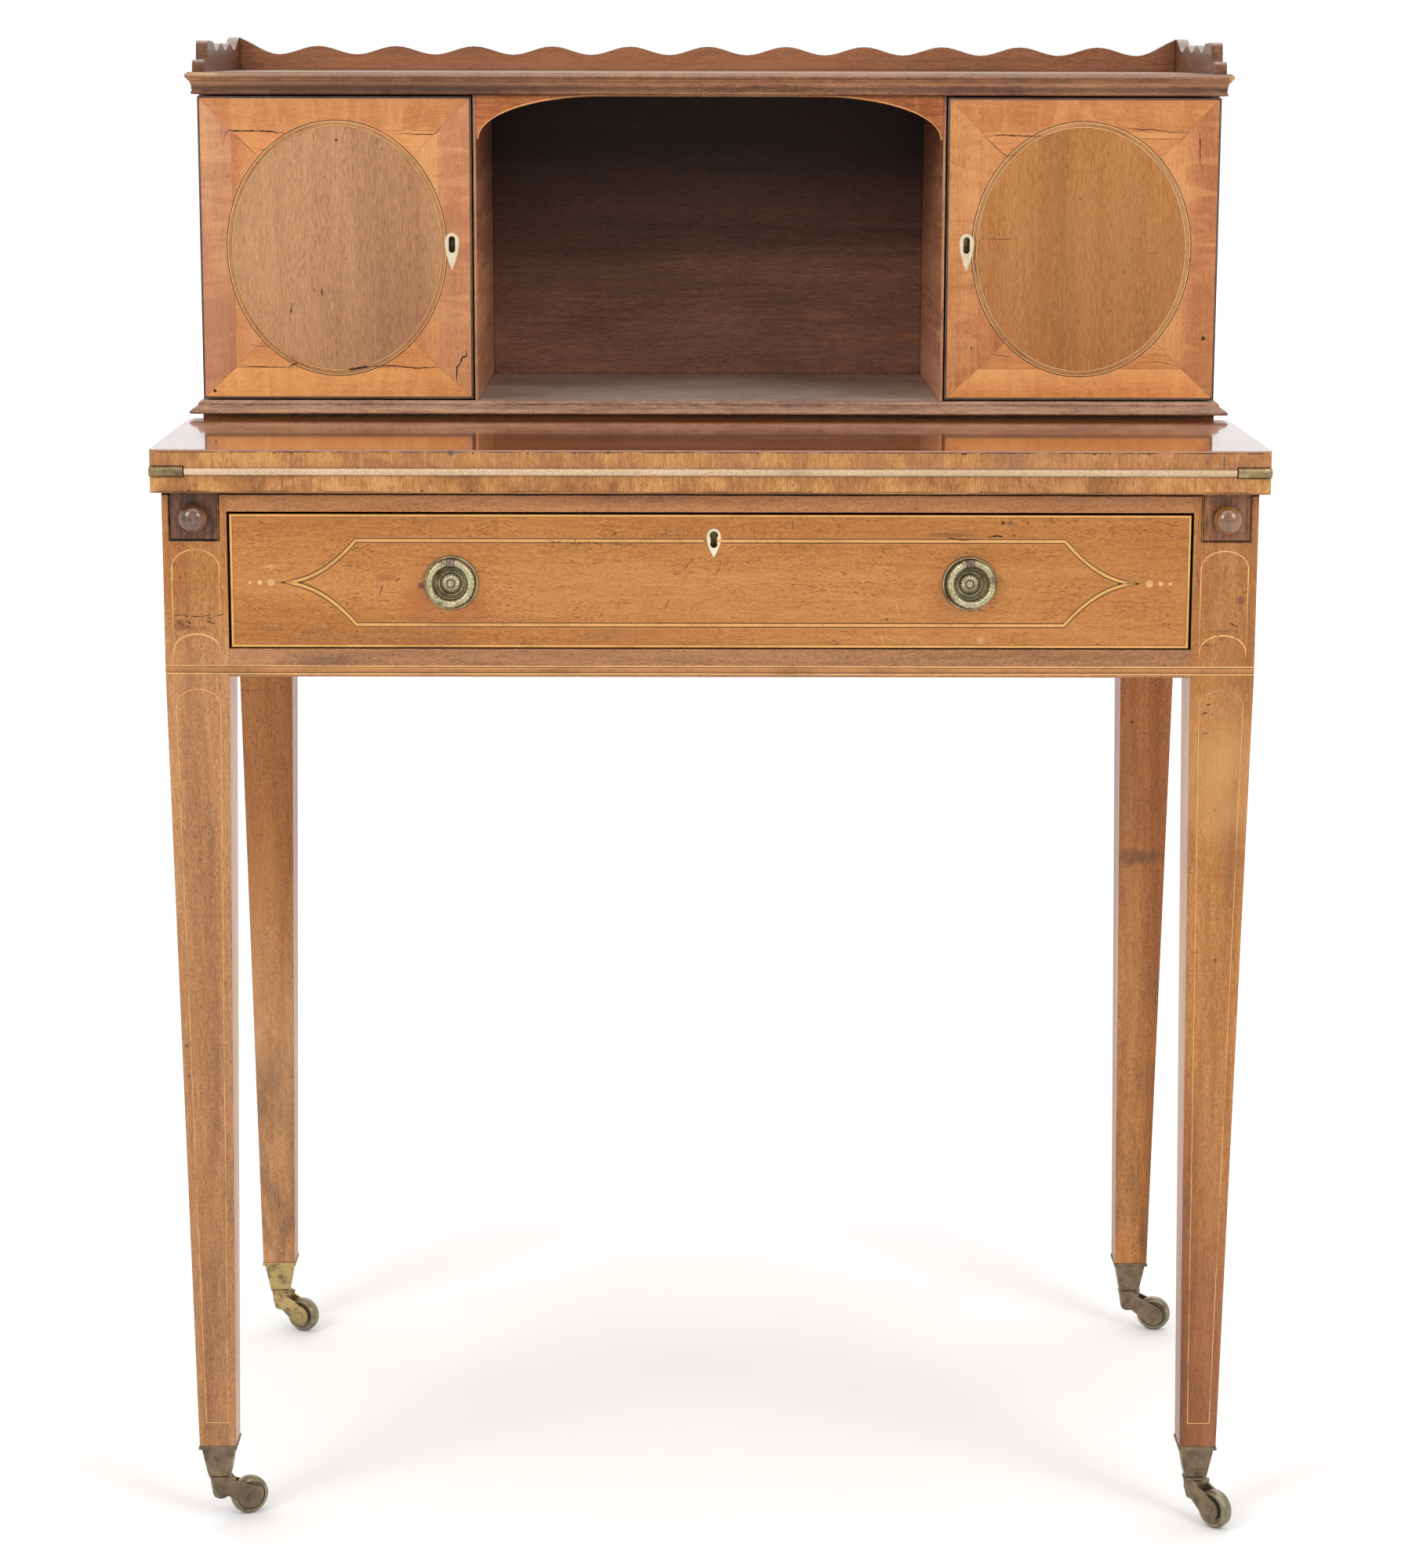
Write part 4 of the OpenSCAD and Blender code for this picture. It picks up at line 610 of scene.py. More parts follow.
def bone_mat():
    t = Tree("old_bone")
    n = t.noise(t.scaled(t.obj, (260, 260, 90)), 1.0, 4, 0.6)
    f = t.noise(t.scaled(t.obj, (1900, 1900, 260)), 1.0, 2, 0.5)
    c = t.ramp(n, [(0.3, (0.62, 0.52, 0.34)), (0.5, (0.74, 0.64, 0.45)), (0.7, (0.80, 0.73, 0.56))])
    c = t.mix(t.rng(f, 0.58, 0.75, 0, 0.4), c, (0.48, 0.36, 0.2))
    cr = t.crevice(0.0010)
    c = t.mix(t.m("MULTIPLY", cr, 0.8), c, (0.10, 0.06, 0.035))
    e, soft = t.edge(0.0004)
    t.put(t.bsdf.inputs["Base Color"], c)
    t.put(t.bsdf.inputs["Roughness"], t.rng(n, 0.3, 0.7, 0.42, 0.28))
    t.bsdf.inputs["Subsurface Weight"].default_value = 0.12
    t.bsdf.inputs["Subsurface Radius"].default_value = (0.002, 0.0014, 0.0008)
    t.put(t.bsdf.inputs["Normal"], t.bump(f, 0.15, 0.0001, soft))
    return t.mat


bone = bone_mat()
paint(bone, "drawer_escutcheon", "door_left_escutcheon", "door_right_escutcheon")


def cloth_mat():
    """Worn baize or velvet: cream pile, browner where it is dirty."""
    t = Tree("lining_baize")
    n = t.noise(t.obj, 26, 4, 0.6)
    pile = t.noise(t.scaled(t.obj, (1100, 1500, 1500)), 1.0, 3, 0.75)
    tuft = t.noise(t.scaled(t.obj, (330, 620, 620)), 1.0, 3, 0.7)
    c = t.ramp(pile, [(0.28, (0.22, 0.125, 0.060)), (0.43, (0.58, 0.38, 0.225)), (0.58, (0.78, 0.57, 0.375)), (0.76, (0.94, 0.78, 0.58))])
    c = t.mix(t.rng(tuft, 0.55, 0.36, 0, 0.55), c, (0.50, 0.33, 0.19))
    c = t.mix(t.rng(n, 0.50, 0.72, 0, 0.35), c, (0.55, 0.38, 0.23))
    # faded and rubbed places, a few old stains
    wide = t.noise(t.obj, 6.5, 4, 0.6, 0.3)
    c = t.mix(t.rng(wide, 0.46, 0.68, 0, 0.42), c, (0.50, 0.335, 0.195))
    c = t.mix(t.rng(wide, 0.46, 0.30, 0, 0.30), c, (0.90, 0.74, 0.55))
    spots, spot_c = t.cells(t.obj, 17)
    sr, sg, sb = t.xyz(spot_c)
    c = t.mix(t.m("MULTIPLY", t.m("MULTIPLY", t.rng(spots, 0.30, 0.12), t.rng(sr, 0.86, 0.90)), 0.45), c, (0.26, 0.165, 0.095))
    t.put(t.bsdf.inputs["Base Color"], c)
    t.bsdf.inputs["Roughness"].default_value = 0.95
    t.bsdf.inputs["Specular IOR Level"].default_value = 0.15
    t.bsdf.inputs["Sheen Weight"].default_value = 0.35
    t.bsdf.inputs["Sheen Roughness"].default_value = 0.5
    t.bsdf.inputs["Sheen Tint"].default_value = (0.95, 0.86, 0.72, 1)
    t.put(t.bsdf.inputs["Normal"], t.bump(t.m("ADD", pile, t.m("MULTIPLY", tuft, 1.4)), 0.9, 0.0006))
    return t.mat


baize = cloth_mat()
paint(baize, "bed_lining", "leaf_lining", "joint_lining")


# ---------------------------------------------------------------- inlay: lines of the legs and frame

F = front(-221.0)
box_line = line_wood("box_stringing", BOX, 1.0, dirt=0.55)
box_fine = line_wood("box_stringing_fine", (0.80, 0.43, 0.150), 2.0, dirt=0.4, vary=0.4)
box_edge = line_wood("box_edging", (0.68, 0.345, 0.100), 3.0, dirt=0.45, vary=0.3)
dark_line = line_wood("dark_stringing", EBONY, 4.0, dirt=0.3)
tan_line = line_wood("brown_stringing", (0.40, 0.17, 0.052), 5.0, dirt=0.35)
grey_edge = line_wood("grey_edging", (0.105, 0.070, 0.052), 6.0, dirt=0.3, vary=0.55)


def leg_plane(sign):
    """The front face of a leg: flat to z 622, then sloping back."""
    def put(a, b, h):
        y = -221.0 + max(0.0, (622.0 - b)) * 9.0 / 563.0
        return Vector((a * MM, y * MM - h, b * MM))
    return put


# panels on the squares of the front legs
stile_line = Shape("stile_lines", "stand", box_fine, "satinwood_veneer")
for sx in (-1, 1):
    cx, hw = sx * 352.4, 16.2
    arch = [(cx + hw * math.cos(math.radians(a)), 697.5 + 12.3 * math.sin(math.radians(a))) for a in range(0, 181, 6)]
    low = [(cx - hw, 636.4)] + [(cx - hw * math.cos(math.radians(a)), 636.4 + 15.0 * math.sin(math.radians(a)) ** 0.75) for a in range(8, 173, 6)] + [(cx + hw, 636.4)]
    stile_line.strip(arch + low, 0.78, F, 0.00008, closed=True)
stile_line.make()

leg_line = Shape("leg_lines", "stand", line_wood("leg_stringing", (0.68, 0.355, 0.125), 9.0, dirt=0.7, vary=0.5), "satinwood_veneer")
for sx in (-1, 1):
    cx = sx * 352.5
    def halfw(z):
        return 15.2 + (7.8 - 15.2) * (601.6 - z) / (601.6 - 77.0)
    arch = [(cx + 15.2 * math.cos(math.radians(a)), 601.6 + 11.4 * math.sin(math.radians(a))) for a in range(0, 181, 6)]
    down = [(cx - halfw(z), z) for z in (500, 400, 300, 200, 120, 77)]
    up = [(cx + halfw(z), z) for z in (77, 120, 200, 300, 400, 500)]
    leg_line.strip(arch + down + up, 0.52, leg_plane(sx), 0.00008, closed=True)
leg_line.make()

# the side faces of the front legs and the rails carry the same line (guessed from the front), but it is not drawn here

# banding low on the frieze
band_l = Shape("frieze_band_light", "stand", box_fine, "satinwood_veneer")
band_d = Shape("frieze_band_dark", "stand", dark_line, "mahogany")
band_m = Shape("frieze_band_mid", "stand", line_wood("band_middle", (0.44, 0.185, 0.065), 8.0, dirt=0.5), "mahogany")


def sideplane(sx, x=374.5):
    """(y, z) on the outside of the frame; sx -1 left, 1 right."""
    return lambda a, b, h: Vector((sx * (x * MM + h), a * MM, b * MM))


for z, w, shp, h in ((629.3, 0.8, band_l, 7e-5), (628.5, 0.5, band_d, 6e-5), (628.0, 0.35, band_l, 7e-5),
                     (626.6, 2.5, band_m, 5e-5), (625.0, 0.5, band_d, 6e-5), (624.2, 0.8, band_l, 7e-5)):
    xs = [-374.5 + 749.0 * i / 24 for i in range(25)]
    rnd = random.Random(int(z * 10))
    # the old line wanders a little
    shp.strip([(x, z + 0.10 * math.sin(x / 60.0 + z) + rnd.uniform(-0.03, 0.03)) for x in xs], w, F, h)
    for sx in (-1, 1):
        ys = [-220.8 + (453.6) * i / 16 for i in range(17)]
        shp.strip([(y, z) for y in ys], w, sideplane(sx), h)
for s in (band_l, band_d, band_m):
    s.make()

# ---------------------------------------------------------------- inlay: drawer

edging = Shape("drawer_edging", "drawer", box_edge, "satinwood_veneer")
hx_d, z0_d, z1_d, ew = 328.5, 642.7, 734.3, 1.55
edging.strip([(-hx_d + ew / 2, z0_d + ew / 2), (hx_d - ew / 2, z0_d + ew / 2), (hx_d - ew / 2, z1_d - ew / 2), (-hx_d + ew / 2, z1_d - ew / 2)],
             ew, F, 0.00006, closed=True)
edging.make()
cock = Shape("drawer_edge_line", "drawer", line_wood("edge_joint_line", (0.19, 0.075, 0.024), 16.0, dirt=0.4, vary=0.5), "mahogany")
cock.strip([(-hx_d + ew + 0.25, z0_d + ew + 0.25), (hx_d - ew - 0.25, z0_d + ew + 0.25), (hx_d - ew - 0.25, z1_d - ew - 0.25), (-hx_d + ew + 0.25, z1_d - ew - 0.25)],
           0.24, F, 0.00005, closed=True)
cock.make()

zc, hz, xc, xt = 687.3, 29.1, 242.7, 294.6
ESC = 4.75                                       # half the width of the escutcheon where the line meets it


def panel_path(sgn, u_stop=0.0):
    """Upper (sgn 1) or lower (sgn -1) line of the drawer panel, tip to tip."""
    us = [u_stop + (1 - u_stop) * (i / 40) ** 1.3 for i in range(41)]
    left = [(-(xt + (xc - xt) * u), zc + sgn * hz * u ** 2.1) for u in us]
    right = [(-a, b) for a, b in reversed(left)]
    return left + right, us + list(reversed(us))


dl_o = Shape("drawer_line_outer", "drawer", line_wood("panel_outer_line", (0.53, 0.235, 0.070), 12.0, dirt=0.5), "satinwood_veneer")
dl_d = Shape("drawer_line_dark", "drawer", line_wood("panel_dark_line", (0.125, 0.050, 0.017), 15.0, dirt=0.3, vary=0.4), "mahogany")
dl_c = Shape("drawer_line_core", "drawer", line_wood("panel_core_line", (0.66, 0.335, 0.105), 13.0, dirt=0.5, vary=0.25), "satinwood_veneer")
for sgn in (1, -1):
    for shp, stop, least, full, d0, rise, h in ((dl_o, 0.0, 0.30, 4.7, -0.8, 9.5, 5e-5), (dl_d, 0.004, 0.20, 3.7, -0.1, 9.6, 8e-5), (dl_c, 0.055, 0.20, 2.0, 2.6, 6.4, 1.1e-4)):
        p, us = panel_path(sgn, stop)
        wd = [max(least, full * min(1.0, max(0.0, (52.0 * u - d0) / rise) ** 1.2)) for u in us]
        m = len(p) // 2
        if sgn > 0:
            shp.strip(p[:m] + [(-ESC, p[m - 1][1])], wd[:m] + [wd[m - 1]], F, h)
            shp.strip([(ESC, p[m][1])] + p[m:], [wd[m]] + wd[m:], F, h)
        else:
            shp.strip(p, wd, F, h)
dark_tail = line_wood("tail_lines", (0.25, 0.105, 0.036), 18.0, dirt=0.0, vary=0.4)
dots = Shape("drawer_dots", "drawer", line_wood("inlay_dots", (0.74, 0.40, 0.150), 14.0, dirt=0.35), "satinwood_veneer")
tail = Shape("drawer_tails", "drawer", dark_tail, "mahogany")
ringd = Shape("drawer_dot_rims", "drawer", line_wood("dot_rims", (0.20, 0.080, 0.026), 17.0, dirt=0.3), "mahogany")
for sx in (-1, 1):
    tail.strip([(sx * 295.2, zc + 0.1), (sx * 296.6, zc + 0.05), (sx * 298.0, zc)], [0.28, 0.32, 0.22], F, 0.00004)
    for d, r in ((300.9, 2.65), (308.6, 1.85), (315.3, 1.30)):
        ringd.disc(sx * d, zc, r + 0.22, F, 0.00005, wob=0.04)
        dots.disc(sx * d, zc + 0.02 * r, r, F, 0.00009, wob=0.03)
for s in (dl_o, dl_d, dl_c, dots, tail, ringd):
    s.make()

# checks, scratches and dents of the drawer face, (points, width) in picture units of the old drawer


def DP(px, py):
    t = (px - 297) / 1225.0
    return (-328.5 + 657.0 * t, 734.3 - (py - 656 - 8 * t) * 91.6 / 167)


drawer_rnd = random.Random(77)
dcr = Shape("drawer_checks", "drawer", line_wood("drawer_check_lines", (0.060, 0.028, 0.014), 51.0, dirt=0.0, vary=0.5, rough=0.6, coat=0.0), "mahogany")
dsc = Shape("drawer_scratches", "drawer", line_wood("drawer_scratch_lines", (0.66, 0.42, 0.22), 52.0, dirt=0.4, vary=0.4, rough=0.6, coat=0.0), "mahogany")


def stroke(shp, pts, w, wander=0.15, on=None):
    path = []
    for (ax, az), (bx, bz) in zip(pts, pts[1:]):
        m = max(2, int(math.hypot(bx - ax, bz - az) / 1.2))
        path += [(ax + (bx - ax) * i / m + drawer_rnd.uniform(-wander, wander), az + (bz - az) * i / m + drawer_rnd.uniform(-wander, wander)) for i in range(m)]
    path.append(pts[-1])
    k = len(path)
    shp.strip(path, [max(0.14, w * drawer_rnd.uniform(0.5, 1.2) * (min(1.0, 4.0 * min(i, k - 1 - i) / k + 0.2))) for i in range(k)], on or F, 0.00012)


for pts, w in (([DP(487, 760), DP(489, 752), DP(492, 744)], 0.55), ([DP(876, 729), DP(882, 720), DP(888, 715)], 0.5), ([DP(851, 779), DP(856, 768)], 0.4),
               ([DP(765, 684), DP(776, 677), DP(788, 680), DP(790, 688)], 0.38), ([DP(780, 690), DP(786, 683), DP(797, 680)], 0.34), ([DP(768, 672), DP(780, 674)], 0.3),
               ([DP(702, 690), DP(712, 694), DP(720, 691)], 0.5), ([DP(726, 694), DP(740, 696), DP(752, 693)], 0.45), ([DP(758, 694), DP(772, 697)], 0.5),
               ([DP(786, 695), DP(800, 698), DP(812, 695)], 0.45), ([DP(1012, 664), DP(1015, 672), DP(1013, 682)], 0.32), ([DP(1128, 700), DP(1130, 710)], 0.34),
               ([DP(917, 736), DP(921, 727), DP(924, 720)], 0.45), ([DP(1210, 690), DP(1232, 693), DP(1252, 692)], 0.8),
               ([DP(1262, 690), DP(1276, 688), DP(1284, 690)], 1.2), ([DP(508, 742), DP(514, 736)], 0.7), ([DP(333, 664), DP(341, 668)], 0.35),
               ([DP(640, 700), DP(640, 706)], 0.3), ([DP(964, 676), DP(966, 690)], 0.3), ([DP(978, 688), DP(984, 698)], 0.4)):
    stroke(dcr, pts, w)
for i in range(46):
    # craquelure by the lock: short upright checks that cross the line
    x = drawer_rnd.uniform(700, 1010)
    y = drawer_rnd.choice((684, 688, 692, 676)) + drawer_rnd.uniform(-6, 6)
    if abs(x - 909.5) < 13:
        continue
    stroke(dcr, [DP(x, y), DP(x + drawer_rnd.uniform(-2.5, 2.5), y + drawer_rnd.uniform(3, 9))], drawer_rnd.uniform(0.16, 0.34), 0.08)
for px, py, r in ((1282, 672, 1.1), (1314, 672, 0.7), (575, 777, 0.35), (770, 786, 0.3), (1113, 745, 0.3), (1446, 716, 0.35)):
    dcr.disc(*DP(px, py), r, F, 0.00012, wob=0.25)
for pts, w in (([DP(1128, 812), DP(1132, 826)], 0.5), ([DP(1146, 770), DP(1153, 790)], 0.35), ([DP(1136, 816), DP(1150, 822)], 0.3), ([DP(1172, 812), DP(1184, 826)], 0.35),
               ([DP(1180, 740), DP(1174, 756)], 0.25), ([DP(340, 722), DP(352, 724)], 0.6), ([DP(700, 816), DP(712, 819)], 0.3)):
    stroke(dsc, pts, w)
dcr.make()
dsc.make()

# old cracks and dents on the faces of the front legs
LP = leg_plane(1)
lck = Shape("leg_checks", "stand", line_wood("leg_check_lines", (0.075, 0.034, 0.017), 55.0, dirt=0.0, vary=0.5, rough=0.6, coat=0.0), "mahogany")
for pts, w in (([DP(222, 784), DP(232, 782), DP(243, 783)], 0.45), ([DP(244, 784), DP(254, 785), DP(271, 783)], 0.55), ([DP(277, 784), DP(288, 781)], 0.65),
               ([DP(226, 788), DP(236, 797)], 0.5), ([DP(232, 787), DP(226, 795)], 0.35), ([DP(238, 789), DP(246, 794)], 0.75), ([DP(248, 783), DP(240, 799)], 0.22),
               ([DP(263, 788), DP(269, 792), DP(278, 794)], 0.7), ([DP(265, 786), DP(273, 788)], 0.4), ([DP(236, 800), DP(243, 797), DP(249, 799)], 0.3),
               ([DP(1547, 904), DP(1555, 902)], 0.85), ([DP(1542, 915), DP(1550, 913)], 0.9), ([DP(1543, 941), DP(1551, 939)], 0.6), ([DP(1548, 907), DP(1545, 913)], 0.3),
               ([DP(1574, 799), DP(1580, 802), DP(1585, 805)], 0.75), ([DP(1558, 813), DP(1562, 819), DP(1567, 823)], 0.3), ([DP(1559, 821), DP(1565, 820), DP(1571, 818)], 0.35),
               ([DP(1537, 830), DP(1543, 827), DP(1550, 826)], 0.6), ([DP(1549, 827), DP(1556, 829)], 0.45), ([DP(1556, 829), DP(1560, 824)], 0.25),
               ([DP(1590, 762), DP(1597, 759)], 0.5), ([DP(1531, 735), DP(1535, 752)], 0.22), ([DP(283, 735), DP(286, 760)], 0.22),
               ([DP(224, 1006), DP(227, 1012)], 0.4), ([DP(246, 1098), DP(253, 1096)], 0.5), ([DP(262, 1170), DP(268, 1169)], 0.4), ([DP(231, 958), DP(236, 961)], 0.4),
               ([DP(1534, 1105), DP(1540, 1103)], 0.5), ([DP(1561, 1037), DP(1566, 1042)], 0.35), ([DP(1540, 1226), DP(1547, 1224)], 0.4)):
    stroke(lck, pts, w, 0.10, LP)
for px, py, r in ((240, 784.5, 0.55), (251, 785, 0.45), (270, 790, 0.5), (1552, 903, 0.4), (1578, 801, 0.55), (286, 782, 0.4), (1546, 828, 0.4), (233, 736, 0.4), (1574, 752, 0.5)):
    lck.disc(*DP(px, py), r, LP, 0.00012, wob=0.25)
lck.make()
lsc = Shape("leg_scratches", "stand", line_wood("leg_scratch_lines", (0.66, 0.44, 0.24), 56.0, dirt=0.4, vary=0.4, rough=0.6, coat=0.0), "mahogany")
for pts, w in (([DP(284, 747), DP(290, 750)], 0.4), ([DP(258, 1036), DP(271, 1030), DP(277, 1027)], 0.22), ([DP(1533, 1251), DP(1566, 1254)], 0.25), ([DP(240, 1140), DP(238, 1152)], 0.22),
               ([DP(1541, 972), DP(1546, 1004)], 0.20)):
    stroke(lsc, pts, w, 0.08, LP)
lsc.make()

# painted shadow: near-black strips in the gap under the fixed top, in front and along the sides, where shade falls
painted_shadow_strips = Shape("joint_shadow_front", "stand", line_wood("joint_shadow_line", (0.022, 0.011, 0.007), 53.0, dirt=0.0, vary=0.5, rough=0.8, coat=0.0), "mahogany")
for a, b in ((-374.3, -369.3), (-336.2, 336.2), (369.3, 374.3)):
    m = max(2, int((b - a) / 12))
    xs = [a + (b - a) * i / m for i in range(m + 1)]
    painted_shadow_strips.strip([(x, 748.60) for x in xs], [2.55 + drawer_rnd.uniform(-0.45, 0.25) for _ in xs], F, 0.00006)
for sx in (-1, 1):
    ys = [-220.6 + 453.2 * i / 30 for i in range(31)]
    painted_shadow_strips.strip([(y, 749.4) for y in ys], [1.0 + drawer_rnd.uniform(-0.2, 0.2) for _ in ys], lambda a, b, h, sx=sx: Vector((sx * (374.5 * MM + h), a * MM, b * MM)), 0.00006)
    # painted shade round the mouth of each loper's channel, wider on the left, where the loper sits further in
    k = 1.0 if sx < 0 else 0.6
    zs = [716.4 + 32.2 * i / 14 for i in range(15)]
    painted_shadow_strips.strip([(sx * 369.75, z) for z in zs], [k * (0.75 + drawer_rnd.uniform(-0.2, 0.2)) for _ in zs], F, 0.00006)
    painted_shadow_strips.strip([(sx * 335.70, z) for z in zs], [k * (0.90 + drawer_rnd.uniform(-0.25, 0.25)) for _ in zs], F, 0.00006)
    xs = [sx * (335.4 + 34.7 * i / 14) for i in range(15)]
    painted_shadow_strips.strip([(x, 716.0) for x in xs], [k * (0.90 + drawer_rnd.uniform(-0.2, 0.2)) for _ in xs], F, 0.00006)
painted_shadow_strips.make()

# dirt and small chips along the arrises of the leaf and of the bed
ar_rnd = random.Random(23)
arr_mat = line_wood("arris_dirt", (0.055, 0.026, 0.014), 54.0, dirt=0.0, vary=0.6, rough=0.6, coat=0.0)
FR = front(-233.0)
for nm, body, zz, y_side in (("leaf_arris_dirt", "leaf", 778.15, -1), ("bed_arris_dirt", "stand", 751.35, 1)):
    ar = Shape(nm, body, arr_mat, "mahogany")
    x = -376.0
    while x < 374.0:
        ln = ar_rnd.uniform(6.0, 46.0)
        m = max(3, int(ln / 3.0))
        xs = [x + ln * i / m for i in range(m + 1)]
        xs = [v for v in xs if v < 376.5]
        if len(xs) > 3:
            ar.strip([(v, zz + ar_rnd.uniform(-0.10, 0.10)) for v in xs],
                     [ar_rnd.uniform(0.22, 0.72 if body == "leaf" else 0.5) * min(1.0, 0.4 + min(i, len(xs) - 1 - i) / 3.0) for i in range(len(xs))], FR, 0.00005)
        x += ln + (ar_rnd.uniform(1.0, 14.0) if nm[0] == "l" else ar_rnd.uniform(14.0, 60.0))
    for i in range(16 if nm[0] == "l" else 7):
        v = ar_rnd.uniform(-370, 370)
        ar.disc(v, zz - 0.55 * (1 if nm[0] == "l" else -1), ar_rnd.uniform(0.35, 0.80), FR, 0.00006, wob=0.3)
    ar.make()

# frayed threads of the cloth where it turns round the joint
fray_rnd = random.Random(5)
fray = Shape("lining_fray", "stand", baize, "lining_cloth")
for i in range(900):
    x = fray_rnd.uniform(-352.0, 352.0)
    up = fray_rnd.choice((-1, 1))
    z = 764.7 + up * fray_rnd.uniform(1.75, 2.15)
    a = math.radians(fray_rnd.uniform(8, 62)) * up
    sg = fray_rnd.choice((-1, 1))
    ln = fray_rnd.uniform(0.6, 1.9)
    wd = fray_rnd.uniform(0.22, 0.50)
    dx, dz = sg * math.cos(a), math.sin(a)
    bend = fray_rnd.uniform(-0.3, 0.3)
    pts = [(x + dx * ln * k / 3, z + dz * ln * k / 3 * 0.62 + bend * math.sin(math.pi * k / 3) * 0.5) for k in range(4)]
    fray.strip(pts, [wd, wd, wd * 0.8, wd * 0.35], FR, 0.00022 + 0.00010 * fray_rnd.random())
fray.make()

# ---------------------------------------------------------------- doors: veneered boards, stringing, oval


def add_hole_plate(shp, outer, inner, place, h, depth=0.0003):
    """Closed four-sided plate with a four-sided hole."""
    k = len(shp.v)
    shp.v += [place(a, b, h) for a, b in outer] + [place(a, b, h) for a, b in inner]
    shp.v += [place(a, b, -depth) for a, b in outer] + [place(a, b, -depth) for a, b in inner]
    for i in range(4):
        j = (i + 1) % 4
        shp.f += [[k + i, k + j, k + 4 + j, k + 4 + i], [k + 8 + j, k + 8 + i, k + 12 + i, k + 12 + j],
                  [k + j, k + i, k + 8 + i, k + 8 + j], [k + 4 + i, k + 4 + j, k + 12 + j, k + 12 + i]]


dcx, dcz, dhw, dhh = 272.55, 902.6, 99.25, 109.5
ocx, ocz, orx, orz = 271.9, 902.6, 80.8, 93.0
bw = 24.3                                        # width of the frame boards
D = front(-5.3)
board_sets = {
    -1: dict(top=(0.560, 0.215, 0.068), side_out=(0.515, 0.215, 0.108), side_in=(0.570, 0.238, 0.102), low=(0.740, 0.315, 0.090),
             span=(0.595, 0.218, 0.062), span_side=(0.580, 0.228, 0.082), oval=((0.450, 0.225, 0.105), (0.225, 0.092, 0.035), (0.60, 0.33, 0.16), (0.47, 0.195, 0.066))),
    1: dict(top=(0.525, 0.186, 0.049), side_out=(0.520, 0.192, 0.063), side_in=(0.460, 0.148, 0.040), low=(0.715, 0.280, 0.076),
            span=(0.555, 0.198, 0.053), span_side=(0.535, 0.192, 0.058), oval=((0.410, 0.158, 0.030), (0.200, 0.064, 0.010), (0.54, 0.245, 0.078), (0.40, 0.18, 0.062))),
}


def board_wood(name, mid, grain, seed, **kw):
    base = dict(fig=0.7, streak=0.13, pores=0.22, patch=0.45, ripple=0.50, grit=0.9, rough=0.32, coat=0.20, coat_rough=0.12, kb=2.0, kf=0.6,
                wear=0.0, dirt=0.25, scratch=0.40, dents=0.30, edge_r=0.0004, wave=0.0005)
    base.update(kw)
    return wood(name, mid, (mid[0] * 0.62, mid[1] * 0.52, mid[2] * 0.45), blendc(mid, (0.82, 0.46, 0.17), 0.45), grain, seed, **base)


crack_mat = line_wood("old_cracks", (0.040, 0.020, 0.012), 21.0, dirt=0.0, vary=0.5, rough=0.6, coat=0.0)
joint_mat = line_wood("veneer_joints", (0.24, 0.105, 0.045), 22.0, dirt=0.35, vary=0.5, rough=0.4, coat=0.2)
light_fine = line_wood("oval_light_line", (0.80, 0.46, 0.175), 23.0, dirt=0.2, vary=0.35)
oval_dark = line_wood("oval_dark_line", (0.095, 0.050, 0.024), 24.0, dirt=0.2, vary=0.6)
oval_band = wood("oval_band_wood", (0.400, 0.175, 0.058), (0.24, 0.09, 0.028), (0.50, 0.25, 0.10), "Z", 31.0, fig=1.0, streak=0.05, pores=0.3, patch=0.3, kf=0.7,
                 wear=0.0, dirt=0.1, dents=0.1)

